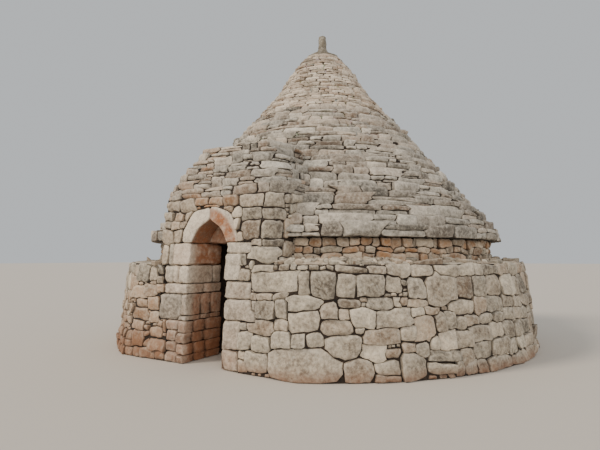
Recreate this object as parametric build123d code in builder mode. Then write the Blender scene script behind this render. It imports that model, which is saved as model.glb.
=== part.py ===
"""Dry-stone trullo: a round field house with a battered outer wall, a ledge, a low drum,
a doorway bay with a pointed arch, and a corbelled cone closed by a capstone and a finial.

The pieces are modelled round the cone's axis, with the ground at Z = 0, +Z up and the
doorway facing -Y. The finished pieces are then moved along Y so that the origin is the
middle of the footprint. All sizes are in millimetres.
"""

import os
from math import ceil, cos, pi, radians, sin, sqrt, tan

from build123d import *

os.makedirs("parts", exist_ok=True)

# Outer wall and its ledge
foot_radius = 3840
ledge_radius = 3660
ledge_height = 1425

# Room and drum wall
room_radius = 1950
drum_radius = 3120
eave_height = 1800

# Facade: a flat battered face that cuts the round wall at the doorway
facade_foot = 3500
facade_batter = 4.2
facade_dressing = 12

# Bay that carries the doorway, wider on its right
bay_left = 950
bay_right = 1150
bay_left_corner = 180
bay_right_corner = 350

# Doorway and its passage
door_half_width = 345
door_height = 1730
passage_half_width = 450
lintel_bearing = 200
lintel_thickness = 190
lintel_width = 460
lintel_seat = 60
lintel_nose = 15

# Pointed arch and the slab that closes its head
arch_rise = 330
arch_curve_radius = 590
arch_stone_width = 175
arch_stone_crown = 185
arch_stone_curve_radius = 720
arch_depth = 400
tympanum_thickness = 210
tympanum_height = 500
tympanum_joint = 25
tympanum_bearing = 155

# Dressed jamb blocks, from the ground up: (height, width along the facade)
left_jamb_courses = [(600, 380), (385, 560), (145, 470), (270, 520), (330, 430)]
right_jamb_courses = [(660, 310), (290, 560), (245, 460), (375, 260), (160, 430)]

# Stepped roof over the bay
bay_roof_courses = 7
bay_roof_slope = 0.5
bay_roof_right_corner = 600
bay_roof_depth = 300

# Cone: tiers of large slab courses below and of thin ones above, from the eaves up
eave_radius = 3310
cone_slope = 0.807
slab_tier_heights = [600, 600, 400, 200, 600]
slab_tier_courses = [4, 5, 4, 2, 7]
thin_tier_heights = [720, 720]
thin_tier_courses = [12, 12]
slab_face_width = 470
fewest_slabs = 12
shoulder_start = 4800
shoulder_end = 6000
shoulder_bulge = 110

# Corbelled vault over the room
vault_course = 200
vault_rise = 2900
vault_power = 1.5
vault_stones = 20
vault_smallest = 150

# Capstone and finial
capstone_radius = 275
capstone_thickness = 60
finial_foot_radius = 140
finial_neck_radius = 82
finial_foot_height = 200
finial_post_width = 142
finial_post_height = 250
finial_post_taper = 2
finial_edge = 22

# Sizes that follow from the driving ones
batter_slope = tan(radians(facade_batter))
bay_height = eave_height + slab_tier_heights[0]
tympanum_front = facade_foot - batter_slope * door_height - arch_depth
bay_back = tympanum_front - tympanum_thickness
jamb_back = bay_back - lintel_seat
lintel_joint = bay_back - lintel_width
slab_zone_top = eave_height + sum(slab_tier_heights)
cone_top = slab_zone_top + sum(thin_tier_heights)
outside = 2 * foot_radius
ring_turn = 1.37
footprint_shift = (facade_foot - foot_radius) / 2


def facade_at(height):
    """Distance of the battered facade from the axis at a height."""
    return facade_foot - batter_slope * height


def cone_radius(height):
    """Radius of the cone's face: a straight slope with a swelling shoulder near the top."""
    straight = eave_radius - cone_slope * (height - eave_height)
    if height <= shoulder_start:
        return straight
    share = (height - shoulder_start) / (shoulder_end - shoulder_start)
    return straight + shoulder_bulge * sin(pi * share)


def vault_radius(height):
    """Radius of the corbelled vault over the room, closing to a point."""
    share = (height - eave_height) / vault_rise
    return room_radius * (1 - share**vault_power)


def cone_tiers(bottom, heights, counts):
    """For each tier of a stretch of the cone, its courses as (base, thickness, radius, slabs)."""
    tiers = []
    for tier_height, count in zip(heights, counts):
        thickness = tier_height / count
        courses = []
        for i in range(count):
            base = bottom + i * thickness
            radius = cone_radius(base)
            slabs = max(fewest_slabs, ceil(2 * pi * radius / slab_face_width))
            courses.append((base, thickness, radius, slabs))
        tiers.append(courses)
        bottom += tier_height
    return tiers


def slab_ring(radius, slabs, base, mode=Mode.ADD):
    """Outline of one course: flat slab faces in a ring, turned so that joints don't line up."""
    return RegularPolygon(radius, slabs, rotation=ring_turn * base, mode=mode)


def radial_plane(angle):
    """Upright plane through the axis: its X runs outwards at the angle, its Y upwards."""
    a = radians(angle)
    return Plane(origin=(0, 0, 0), x_dir=(cos(a), sin(a), 0), z_dir=(sin(a), -cos(a), 0))


def save(part, name):
    """Moves a finished piece to the footprint's frame, labels it and writes it."""
    part = Pos(0, footprint_shift, 0) * part
    part.label = name
    export_step(part, f"parts/{name}.step")
    return part


# The ground in front of the battered facade, taken off whatever meets the face
with BuildPart() as before_facade:
    with BuildSketch(Plane.YZ.offset(-outside)):
        with BuildLine():
            Polyline(
                (-outside, 0),
                (-facade_at(0), 0),
                (-facade_at(outside), outside),
                (-outside, outside),
                close=True,
            )
        make_face()
    extrude(amount=2 * outside)

# The doorway bay's zone, kept clear by the round wall
with BuildPart() as bay_zone:
    with BuildSketch():
        with Locations(((bay_right - bay_left) / 2, -outside / 2)):
            Rectangle(bay_left + bay_right, outside)
    extrude(amount=eave_height)

# The zone of the bay's upper wall, which the foot of the cone leaves free
with BuildPart() as bay_head_zone:
    with BuildSketch(Plane.XY.offset(eave_height)):
        with Locations(((bay_right - bay_left) / 2, -bay_back - outside / 2)):
            Rectangle(bay_left + bay_right, outside)
    extrude(amount=bay_height - eave_height)


def ring_sector(name, start, sweep, bottom, top, foot, head):
    """One stretch of round wall, from the room's face to an outer face that may lean in."""
    with BuildPart() as sector:
        with BuildSketch(radial_plane(start)):
            with BuildLine():
                Polyline(
                    (room_radius, bottom),
                    (foot, bottom),
                    (head, top),
                    (room_radius, top),
                    close=True,
                )
            make_face()
        revolve(axis=Axis.Z, revolution_arc=sweep)
        add(bay_zone.part, mode=Mode.SUBTRACT)
        add(before_facade.part, mode=Mode.SUBTRACT)
    return save(sector.part, name)


base_wall_names = ["front_right", "right", "back_right", "back_left", "left", "front_left"]
base_wall_sweep = 360 / len(base_wall_names)
for i, side in enumerate(base_wall_names):
    ring_sector(
        f"base_wall_{side}",
        270 + i * base_wall_sweep,
        base_wall_sweep,
        0,
        ledge_height,
        foot_radius,
        ledge_radius,
    )

drum_wall_names = ["front_right", "back_right", "back_left", "front_left"]
drum_wall_sweep = 360 / len(drum_wall_names)
for i, side in enumerate(drum_wall_names):
    ring_sector(
        f"drum_wall_{side}",
        270 + i * drum_wall_sweep,
        drum_wall_sweep,
        ledge_height,
        eave_height,
        drum_radius,
        drum_radius,
    )


# Jamb blocks: each stands on the one below and runs back from the facade under the lintel
def jamb_blocks(side, courses):
    """The dressed blocks of one jamb; side is -1 for the left and 1 for the right."""
    blocks = []
    bottom = 0
    scale = door_height / sum(height for height, width in courses)
    for height, width in courses:
        with BuildPart() as block:
            with BuildSketch(Plane.XY.offset(bottom)):
                with Locations((side * (door_half_width + width / 2), -jamb_back)):
                    Rectangle(width, foot_radius - jamb_back, align=(Align.CENTER, Align.MAX))
            extrude(amount=height * scale)
            add(before_facade.part, mode=Mode.SUBTRACT)
        blocks.append(block.part)
        bottom += height * scale
    return blocks


left_jamb = jamb_blocks(-1, left_jamb_courses)
right_jamb = jamb_blocks(1, right_jamb_courses)
for number, block in enumerate(left_jamb, 1):
    save(block, f"left_jamb_block_{number}")
for number, block in enumerate(right_jamb, 1):
    save(block, f"right_jamb_block_{number}")


# Arch: two curved stones that lean together and meet over the middle of the doorway
def arch_stone(side):
    """One of the two arch stones, from the facade back to the tympanum."""
    foot_out = side * (door_half_width + arch_stone_width)
    crown_out = door_height + arch_rise + arch_stone_crown
    with BuildPart() as stone:
        with BuildSketch(Plane.XZ.offset(tympanum_front)):
            with BuildLine():
                RadiusArc(
                    (side * door_half_width, door_height),
                    (0, door_height + arch_rise),
                    -side * arch_curve_radius,
                )
                Line((0, door_height + arch_rise), (0, crown_out))
                RadiusArc(
                    (0, crown_out), (foot_out, door_height), side * arch_stone_curve_radius
                )
                Line((foot_out, door_height), (side * door_half_width, door_height))
            make_face()
        extrude(amount=foot_radius - tympanum_front)
        add(before_facade.part, mode=Mode.SUBTRACT)
    return stone.part


arch_left = arch_stone(-1)
arch_right = arch_stone(1)
save(arch_left, "arch_stone_left")
save(arch_right, "arch_stone_right")

# Tympanum: two slabs behind the arch, whose lower edge is the head of the doorway
def tympanum_slab(side):
    """The slab of one side, from its bearing in the wall to the joint near the middle."""
    end = side * (door_half_width + tympanum_bearing)
    with BuildPart() as slab:
        with BuildSketch(Plane.XY.offset(door_height)):
            with Locations(((end + tympanum_joint) / 2, -(tympanum_front + bay_back) / 2)):
                Rectangle(abs(end - tympanum_joint), tympanum_front - bay_back)
        extrude(amount=tympanum_height)
    return slab.part


tympanum_left = tympanum_slab(-1)
tympanum_right = tympanum_slab(1)
save(tympanum_left, "tympanum_left")
save(tympanum_right, "tympanum_right")
door_head = [arch_left, arch_right, tympanum_left, tympanum_right]


# Lintels: flat slabs that roof the passage behind the tympanum
def lintel(front, back):
    """One slab across the passage, between two distances from the axis."""
    with BuildPart() as slab:
        with BuildSketch(Plane.XY.offset(door_height)):
            with Locations((0, -(front + back) / 2)):
                Rectangle(2 * (passage_half_width + lintel_bearing), front - back)
        extrude(amount=lintel_thickness)
    return slab.part


lintel_middle = lintel(bay_back, lintel_joint)
lintel_inner = lintel(lintel_joint, room_radius - lintel_nose)
save(lintel_middle, "lintel_middle")
save(lintel_inner, "lintel_inner")


def bay_outline(front, left, right, left_corner, right_corner, back):
    """Plan of the bay: square at the back, its two front corners rounded."""
    with BuildSketch() as outline:
        with BuildLine():
            Polyline((-left, -front + left_corner), (-left, -back), (right, -back))
            Line((right, -back), (right, -front + right_corner))
            RadiusArc((right, -front + right_corner), (right - right_corner, -front), right_corner)
            Line((right - right_corner, -front), (left_corner - left, -front))
            RadiusArc((left_corner - left, -front), (-left, -front + left_corner), left_corner)
        make_face()
    return outline.sketch


# Piers: the bay's masonry on each side of the passage, up to the eaves
def bay_pier(name, side, blocks):
    """One pier: square in the wall's depth, rounded at the corner where it stands clear."""
    reach = bay_left if side < 0 else bay_right
    with BuildPart() as pier:
        with BuildSketch():
            with Locations((side * (door_half_width + reach) / 2, -outside / 2)):
                Rectangle(reach - door_half_width, outside)
        extrude(amount=ledge_height)
        with BuildSketch(Plane.XY.offset(ledge_height)):
            add(bay_plan)
            with Locations((-side * outside / 2 + side * door_half_width, 0)):
                Rectangle(outside, 2 * outside, mode=Mode.SUBTRACT)
        extrude(amount=eave_height - ledge_height)
        with BuildSketch():
            Circle(room_radius)
        extrude(amount=eave_height, mode=Mode.SUBTRACT)
        with BuildSketch():
            with Locations((0, -jamb_back / 2)):
                Rectangle(2 * passage_half_width, jamb_back)
        extrude(amount=eave_height, mode=Mode.SUBTRACT)
        add(before_facade.part, mode=Mode.SUBTRACT)
        for piece in blocks + door_head + [lintel_middle, lintel_inner]:
            add(piece, mode=Mode.SUBTRACT)
    return save(pier.part, name)


bay_plan = bay_outline(
    facade_at(ledge_height) + facade_dressing,
    bay_left,
    bay_right,
    bay_left_corner,
    bay_right_corner,
    0,
)
bay_pier("bay_pier_left", -1, left_jamb)
bay_pier("bay_pier_right", 1, right_jamb)

# The bay's head: the wall over the doorway, round the arch and its recess
with BuildPart() as bay_head:
    with BuildSketch(Plane.XY.offset(eave_height)):
        add(
            bay_outline(
                facade_at(eave_height) + facade_dressing,
                bay_left,
                bay_right,
                bay_left_corner,
                bay_right_corner,
                bay_back,
            )
        )
    extrude(amount=bay_height - eave_height)
    add(before_facade.part, mode=Mode.SUBTRACT)
    with BuildSketch(Plane.XZ.offset(tympanum_front)):
        with BuildLine():
            RadiusArc(
                (-door_half_width, door_height),
                (0, door_height + arch_rise),
                arch_curve_radius,
            )
            RadiusArc(
                (0, door_height + arch_rise),
                (door_half_width, door_height),
                arch_curve_radius,
            )
            Line((door_half_width, door_height), (-door_half_width, door_height))
        make_face()
    extrude(amount=outside, mode=Mode.SUBTRACT)
    for piece in door_head:
        add(piece, mode=Mode.SUBTRACT)
save(bay_head.part, "bay_head")


# Cone: every course is a ring of slabs, set back from the one below
def cone_tier(name, courses, cuts):
    """One tier of courses over the room's corbelled vault, less what passes through it."""
    with BuildPart() as tier:
        for base, thickness, radius, slabs in courses:
            with BuildSketch(Plane.XY.offset(base)):
                slab_ring(radius, slabs, base)
            extrude(amount=thickness)
        bottom = courses[0][0]
        top = base + thickness
        for step in range(ceil((top - bottom) / vault_course)):
            level = bottom + step * vault_course
            if level < eave_height + vault_rise and vault_radius(level) > vault_smallest:
                with BuildSketch(Plane.XY.offset(level)):
                    RegularPolygon(vault_radius(level), vault_stones, rotation=level)
                extrude(amount=min(vault_course, top - level), mode=Mode.SUBTRACT)
        for cut in cuts:
            add(cut, mode=Mode.SUBTRACT)
    return save(tier.part, name)


slab_courses = cone_tiers(eave_height, slab_tier_heights, slab_tier_courses)
thin_courses = cone_tiers(slab_zone_top, thin_tier_heights, thin_tier_courses)
for number, courses in enumerate(slab_courses, 1):
    foot_cuts = [bay_head_zone.part, lintel_middle, lintel_inner] if number == 1 else []
    cone_tier(f"cone_slab_tier_{number}", courses, foot_cuts)
for number, courses in enumerate(thin_courses, 1):
    cone_tier(f"cone_thin_tier_{number}", courses, [])

# Roof of the bay: stepped courses that lean back on the cone's own
courses_over_bay = [course for tier in slab_courses[1:] for course in tier]
for number, course in enumerate(courses_over_bay[:bay_roof_courses], 1):
    base, thickness, radius, slabs = course
    setback = bay_roof_slope * (base - bay_height)
    back = sqrt(radius**2 - max(bay_left, bay_right) ** 2) - bay_roof_depth
    with BuildPart() as roof_course:
        with BuildSketch(Plane.XY.offset(base)):
            add(
                bay_outline(
                    facade_at(bay_height) - setback,
                    bay_left - setback,
                    bay_right - setback,
                    bay_left_corner,
                    bay_roof_right_corner - setback,
                    back,
                )
            )
            slab_ring(radius, slabs, base, mode=Mode.SUBTRACT)
        extrude(amount=thickness)
    save(roof_course.part, f"bay_roof_course_{number}")

# Capstone: a flat round slab on the last course
with BuildPart() as capstone:
    with BuildSketch(Plane.XY.offset(cone_top)):
        Circle(capstone_radius)
    extrude(amount=capstone_thickness)
save(capstone.part, "capstone")

# Finial: a conical foot bedded on the capstone, and the square post set on it
with BuildPart() as finial_foot:
    with Locations((0, 0, cone_top + capstone_thickness)):
        Cone(
            finial_foot_radius,
            finial_neck_radius,
            finial_foot_height,
            align=(Align.CENTER, Align.CENTER, Align.MIN),
        )
save(finial_foot.part, "finial_foot")

with BuildPart() as finial_post:
    with BuildSketch(Plane.XY.offset(cone_top + capstone_thickness + finial_foot_height)) as post:
        Rectangle(finial_post_width, finial_post_width)
        chamfer(post.vertices(), finial_edge)
    extrude(amount=finial_post_height, taper=finial_post_taper)
save(finial_post.part, "finial_post")
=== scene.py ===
"""Looks of a round dry-stone field house, laid stone by stone on its CAD solids.

The solids of the walls, the bay and the cone stay in view as the earth-dark bedding in the
joints, dark enough to be painted shadow in the gaps. Every stone that shows is a closed
piece of its own, worked out with numpy on the face that carries it. The jambs, the arch,
the tympanum, the capstone and the finial are replaced by rough stones of about the same size.
"""

from math import pi, radians

import bpy
import numpy as np
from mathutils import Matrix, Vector


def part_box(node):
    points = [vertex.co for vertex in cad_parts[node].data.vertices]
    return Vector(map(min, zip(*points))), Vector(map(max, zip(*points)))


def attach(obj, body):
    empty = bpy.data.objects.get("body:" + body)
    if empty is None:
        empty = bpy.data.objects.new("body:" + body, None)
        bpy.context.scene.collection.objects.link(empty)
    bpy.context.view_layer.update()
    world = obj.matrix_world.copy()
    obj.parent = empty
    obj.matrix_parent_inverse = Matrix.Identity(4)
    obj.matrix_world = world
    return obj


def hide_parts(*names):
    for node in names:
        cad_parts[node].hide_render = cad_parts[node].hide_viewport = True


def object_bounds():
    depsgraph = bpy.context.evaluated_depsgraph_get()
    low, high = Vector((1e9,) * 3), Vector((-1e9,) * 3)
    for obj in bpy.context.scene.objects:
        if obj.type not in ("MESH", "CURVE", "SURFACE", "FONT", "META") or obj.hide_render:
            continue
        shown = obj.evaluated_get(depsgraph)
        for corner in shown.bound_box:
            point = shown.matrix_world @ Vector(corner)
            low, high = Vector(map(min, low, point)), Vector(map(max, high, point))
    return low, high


bl_info = {
    "name": "Trullo house stones",
    "version": (1, 1, 0),
    "blender": (4, 5, 0),
    "location": "3D View > Sidebar > Trullo",
    "description": "Lays the dry stones of a trullo on its CAD solids",
    "category": "Object",
}

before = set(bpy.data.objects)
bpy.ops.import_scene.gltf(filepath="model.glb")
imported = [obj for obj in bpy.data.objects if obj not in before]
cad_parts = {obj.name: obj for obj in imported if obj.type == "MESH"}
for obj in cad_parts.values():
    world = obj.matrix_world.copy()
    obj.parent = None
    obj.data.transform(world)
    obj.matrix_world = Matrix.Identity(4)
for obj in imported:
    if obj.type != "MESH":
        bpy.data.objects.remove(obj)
cad_low, cad_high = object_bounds()

# Heights and radii that the CAD solids give, in metres
AXIS_Y = (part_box("capstone")[0].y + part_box("capstone")[1].y) / 2
FOOT_RADIUS = cad_high.x
LEDGE_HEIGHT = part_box("base_wall_right")[1].z
DRUM_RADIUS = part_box("drum_wall_back_right")[1].x
EAVE_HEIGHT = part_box("drum_wall_back_right")[1].z
BAY_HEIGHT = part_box("bay_head")[1].z
BAY_LEFT = -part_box("bay_head")[0].x
BAY_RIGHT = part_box("bay_head")[1].x
DOOR_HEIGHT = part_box("arch_stone_left")[0].z
TERRACE_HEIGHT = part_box("bay_roof_course_7")[1].z
TYMPANUM_FRONT = AXIS_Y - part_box("tympanum_left")[0].y
JAMB_BACK = AXIS_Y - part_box("left_jamb_block_1")[1].y

# The CAD's own values for what its boxes don't tell. BAY_CORNERS are the radii of the bay's
# left and right corner, SHOULDER is where the cone's swelling starts and ends and its size,
# and ARCH_INNER is x, z and radius of the arc under the right arch stone
LEDGE_RADIUS = 3.66
FACADE_FOOT = 3.5
FACADE_BATTER = 0.07344
FACADE_DRESSING = 0.012
BAY_CORNERS = (0.18, 0.35)
BAY_ROOF_SLOPE = 0.5
BAY_ROOF_RIGHT_CORNER = 0.6
EAVE_RADIUS = 3.31
CONE_SLOPE = 0.807
SHOULDER = (4.8, 6.0, 0.11)
DOOR_HALF_WIDTH = 0.345
ARCH_INNER = (-0.200, 1.506, 0.59)

TIER_COURSES = {
    "cone_slab_tier_1": 4,
    "cone_slab_tier_2": 5,
    "cone_slab_tier_3": 4,
    "cone_slab_tier_4": 2,
    "cone_slab_tier_5": 7,
    "cone_thin_tier_1": 12,
    "cone_thin_tier_2": 12,
}
ROOF_COURSES = 7

# Outer edge of the arch stones: foot, half width, rise and the power that squares its
# shoulders
ARCH_OUTLINE = (1.56, 0.545, 0.685, 2.6)

# Lengths round the house are measured at these radii
WALL_REACH = 3.75
LEDGE_REACH = 3.4

# How stones are cut: steps along each ray, the share of a stone's size where they start and
# the least share that is kept, the neighbours that can stop a ray, and the room in metres
# that a stone's middle needs
RAY_STEPS = 32
RAY_START = 0.15
LEAST_SHARE = 0.02
NEIGHBOURS = 13
LEAST_ROOM = 0.008

# Metres that stones keep off the ground, the bay's roof and the eaves, and that slabs reach
# down behind the course below
BED_GAP = 0.004
BED_LAP = 0.004

# Wall stones whose place on the real wall is plain to see, as
# (along the wall from the doorway's middle, height, half width, half height) in metres
WALL_STONES = np.array(
    [
        (1.25, 1.20, 0.34, 0.12), (1.65, 1.19, 0.08, 0.13), (1.89, 1.17, 0.15, 0.16),
        (2.18, 1.16, 0.12, 0.14), (2.50, 1.17, 0.18, 0.13), (2.80, 1.20, 0.10, 0.11),
        (1.07, 1.37, 0.15, 0.04), (1.64, 1.38, 0.07, 0.03), (1.78, 1.38, 0.06, 0.04),
        (2.26, 1.36, 0.20, 0.04), (2.61, 1.36, 0.12, 0.04), (2.89, 0.96, 0.08, 0.05),
        (3.12, 0.94, 0.14, 0.05), (3.10, 0.82, 0.09, 0.05), (3.32, 0.83, 0.12, 0.05),
        (2.97, 0.57, 0.11, 0.09), (3.19, 0.61, 0.14, 0.17), (3.43, 0.69, 0.09, 0.12),
        (3.60, 0.71, 0.07, 0.11), (3.51, 0.45, 0.12, 0.11), (3.80, 0.44, 0.15, 0.11),
        (2.97, 0.40, 0.08, 0.06), (3.14, 0.36, 0.10, 0.09), (3.31, 0.43, 0.07, 0.08),
        (3.46, 0.28, 0.23, 0.06), (3.00, 0.18, 0.16, 0.14), (3.39, 0.13, 0.21, 0.06),
        (3.67, 0.11, 0.06, 0.08),
        (0.90, 1.00, 0.07, 0.05), (1.10, 1.00, 0.11, 0.05), (1.34, 1.01, 0.11, 0.04),
        (1.10, 0.84, 0.18, 0.11), (1.37, 0.86, 0.09, 0.10), (1.67, 0.95, 0.22, 0.09),
        (1.97, 0.85, 0.11, 0.10), (2.22, 0.94, 0.13, 0.06), (2.62, 0.94, 0.17, 0.07),
        (2.84, 0.95, 0.05, 0.07), (2.39, 0.77, 0.18, 0.12), (2.77, 0.75, 0.22, 0.11),
        (2.15, 0.81, 0.06, 0.06), (0.72, 0.60, 0.10, 0.06), (1.05, 0.62, 0.21, 0.10),
        (1.36, 0.67, 0.11, 0.07), (1.67, 0.72, 0.19, 0.13), (2.06, 0.65, 0.19, 0.10),
        (2.34, 0.61, 0.07, 0.04), (0.80, 0.43, 0.13, 0.12), (1.07, 0.41, 0.16, 0.10),
        (1.36, 0.48, 0.14, 0.10), (1.60, 0.50, 0.09, 0.09), (1.80, 0.50, 0.12, 0.09),
        (2.14, 0.43, 0.21, 0.13), (2.62, 0.54, 0.23, 0.09), (2.50, 0.35, 0.15, 0.10),
        (2.74, 0.33, 0.10, 0.05), (0.76, 0.24, 0.09, 0.05), (0.76, 0.11, 0.10, 0.09),
        (1.01, 0.19, 0.17, 0.13), (1.65, 0.21, 0.42, 0.19), (2.32, 0.14, 0.17, 0.14),
        (2.67, 0.17, 0.16, 0.09), (2.66, 0.04, 0.16, 0.05), (-1.38, 1.28, 0.18, 0.13),
        (-1.14, 1.28, 0.10, 0.11), (-1.42, 0.98, 0.19, 0.09), (-1.17, 1.02, 0.12, 0.08),
        (-1.32, 0.81, 0.12, 0.06), (-1.07, 0.83, 0.12, 0.10), (-1.36, 0.65, 0.16, 0.08),
        (-1.39, 0.49, 0.13, 0.07), (-1.36, 0.27, 0.13, 0.11), (-1.03, 0.62, 0.10, 0.07),
        (-0.98, 0.40, 0.14, 0.08), (-0.92, 0.21, 0.15, 0.08), (0.74, 1.27, 0.11, 0.08),
    ]
)
BAY_STONES = np.array(
    [
        (0.76, 1.90, 0.16, 0.13), (1.07, 1.88, 0.15, 0.13), (0.50, 2.14, 0.09, 0.08),
        (0.76, 2.11, 0.18, 0.09), (1.09, 2.10, 0.16, 0.08), (0.38, 2.31, 0.13, 0.09),
        (0.75, 2.29, 0.23, 0.10), (0.10, 2.33, 0.14, 0.06), (1.10, 2.29, 0.14, 0.10),
        (0.87, 1.72, 0.09, 0.05), (1.10, 1.71, 0.15, 0.05), (0.98, 1.53, 0.23, 0.15),
        (0.65, 1.47, 0.05, 0.10), (-0.86, 1.83, 0.17, 0.12), (-0.62, 1.84, 0.08, 0.09),
        (-0.88, 1.56, 0.10, 0.15), (-0.89, 2.01, 0.13, 0.06), (-0.67, 2.00, 0.09, 0.06),
        (-0.86, 2.14, 0.13, 0.06), (-0.62, 2.14, 0.10, 0.07), (-0.78, 2.30, 0.16, 0.08),
        (-0.44, 2.28, 0.16, 0.09), (-0.17, 2.33, 0.12, 0.06), (-0.40, 2.13, 0.08, 0.06),
        (1.34, 1.60, 0.10, 0.12), (1.36, 1.90, 0.11, 0.13), (-1.10, 1.60, 0.08, 0.12),
        (0.35, 2.19, 0.08, 0.04), (0.50, 1.98, 0.06, 0.08),
        (-1.12, 1.90, 0.09, 0.12), (0.59, 1.80, 0.05, 0.06),
    ]
)

# Dressed blocks of the jambs: tone of the face and of the passage, warmth of both, and the
# joints that show in the passage, as shares of the wall's depth. The left jamb's darker
# passage tones are partly painted shade.
JAMB_LOOKS = {
    ("left", 1): (0.38, 0.10, 0.45, 0.75, (0.3, 0.62)),
    ("left", 2): (0.24, 0.20, 0.00, 0.60, (0.36, 0.66)),
    ("left", 3): (0.50, 0.40, 0.10, 0.40, (0.5,)),
    ("left", 4): (0.64, 0.55, 0.08, 0.25, (0.66,)),
    ("left", 5): (0.72, 0.70, 0.06, 0.85, ()),
    ("right", 1): (0.46, 0.4, 0.12, 0.5, (0.4,)),
    ("right", 2): (0.36, 0.4, 0.04, 0.5, (0.5,)),
    ("right", 3): (0.34, 0.4, 0.10, 0.5, (0.4,)),
    ("right", 4): (0.52, 0.4, 0.00, 0.5, ()),
    ("right", 5): (0.58, 0.4, 0.05, 0.6, ()),
}

# Where a block of the source is several stones on its face, as shares of its box:
# (across from its left, up from its foot, half width, half height)
JAMB_SPLITS = {
    ("left", 1): [
        (0.3, 0.88, 0.3, 0.12), (0.8, 0.85, 0.25, 0.14), (0.28, 0.63, 0.28, 0.13),
        (0.75, 0.58, 0.28, 0.13), (0.3, 0.38, 0.3, 0.12), (0.8, 0.32, 0.24, 0.14),
        (0.35, 0.12, 0.35, 0.13), (0.85, 0.1, 0.2, 0.1),
    ],
    ("left", 2): [(0.42, 0.52, 0.42, 0.5), (0.9, 0.6, 0.12, 0.42), (0.86, 0.08, 0.16, 0.1)],
    ("left", 4): [(0.8, 0.5, 0.21, 0.5), (0.49, 0.5, 0.1, 0.5), (0.19, 0.5, 0.19, 0.5)],
    ("left", 5): [(0.6, 0.5, 0.4, 0.5), (0.1, 0.5, 0.1, 0.5)],
    ("right", 1): [(0.45, 0.72, 0.5, 0.3), (0.5, 0.2, 0.5, 0.22)],
    ("right", 2): [(0.45, 0.5, 0.46, 0.5), (0.95, 0.75, 0.1, 0.25)],
}

# Rings of a stone from its back to its face, each as (share of the bevel it is drawn in by,
# scale, share of the depth, of the stand-out, of the bulge and of the bevel it stands over,
# wear with painted highlight, dirt with painted shade). The high dirt on the backs and sides
# paints the shade in the joints
FIELD_RINGS = np.array(
    [
        (0.6, 1.00, -1.0, 0.0, 0.00, 0.0, 0.0, 1.00),
        (0.0, 1.00, -0.3, 0.0, 0.00, 0.0, 0.0, 0.80),
        (0.0, 1.00, 0.0, 1.0, 0.00, -1.0, 0.2, 0.40),
        (0.3, 1.00, 0.0, 1.0, 0.00, -0.4, 0.7, 0.15),
        (1.0, 1.00, 0.0, 1.0, 0.00, 0.0, 0.9, 0.03),
        (1.0, 0.68, 0.0, 1.0, 0.60, 0.0, 0.2, 0.00),
        (1.0, 0.34, 0.0, 1.0, 0.95, 0.0, 0.0, 0.00),
    ]
)
SLAB_RINGS = np.array(
    [
        (0.6, 1.00, -1.0, 0.0, 0.00, 0.0, 0.0, 0.90),
        (0.0, 1.00, -0.4, 0.0, 0.00, 0.0, 0.1, 0.60),
        (0.0, 1.00, 0.0, 1.0, 0.00, -1.0, 0.4, 0.45),
        (0.2, 1.00, 0.0, 1.0, 0.00, -0.4, 0.9, 0.25),
        (1.0, 1.00, 0.0, 1.0, 0.00, 0.0, 0.9, 0.08),
        (1.0, 0.66, 0.0, 1.0, 0.60, 0.0, 0.2, 0.00),
        (1.0, 0.30, 0.0, 1.0, 1.00, 0.0, 0.0, 0.00),
    ]
)
CHIP_RINGS = FIELD_RINGS[[0, 2, 3, 4, 6]]


def deep_rings(joints=()):
    """Rings of a block that runs through the wall. Each joint is a groove across its sides,
    at a share of the depth: drawn in by the bevel, with a lip before and behind it. Dirt on
    the lips, and more in the groove, also paints the groove's shade."""
    sides = [(0.0, share, 0.15, 0.05) for share in np.linspace(0.96, 0.06, 9)]
    for joint in joints:
        sides = [row for row in sides if abs(row[1] - joint) > 0.05]
        sides += [(0.2, joint + lip, 0.5, 0.3) for lip in (0.035, -0.035)]
        sides += [(1.2, joint, 0.0, 1.0)]
    rows = [(0.4, 1.0, -1.0, 0.0, 0.0, 0.0, 0.0, 0.5)]
    for drawn_in, share, wear_and_highlight, dirt_and_shade in sorted(sides, key=lambda row: -row[1]):
        rows.append((drawn_in, 1.0, -share, 0.0, 0.0, 0.0, wear_and_highlight, dirt_and_shade))
    rows += [
        (0.0, 1.00, 0.0, 1.0, 0.00, -1.2, 0.3, 0.15),
        (0.3, 1.00, 0.0, 1.0, 0.00, -0.4, 0.8, 0.10),
        (1.0, 1.00, 0.0, 1.0, 0.00, 0.0, 0.9, 0.03),
        (1.0, 0.80, 0.0, 1.0, 0.35, 0.0, 0.3, 0.00),
        (1.0, 0.58, 0.0, 1.0, 0.65, 0.0, 0.1, 0.00),
        (1.0, 0.36, 0.0, 1.0, 0.90, 0.0, 0.0, 0.00),
        (1.0, 0.16, 0.0, 1.0, 1.00, 0.0, 0.0, 0.00),
    ]
    return np.array(rows)


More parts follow.
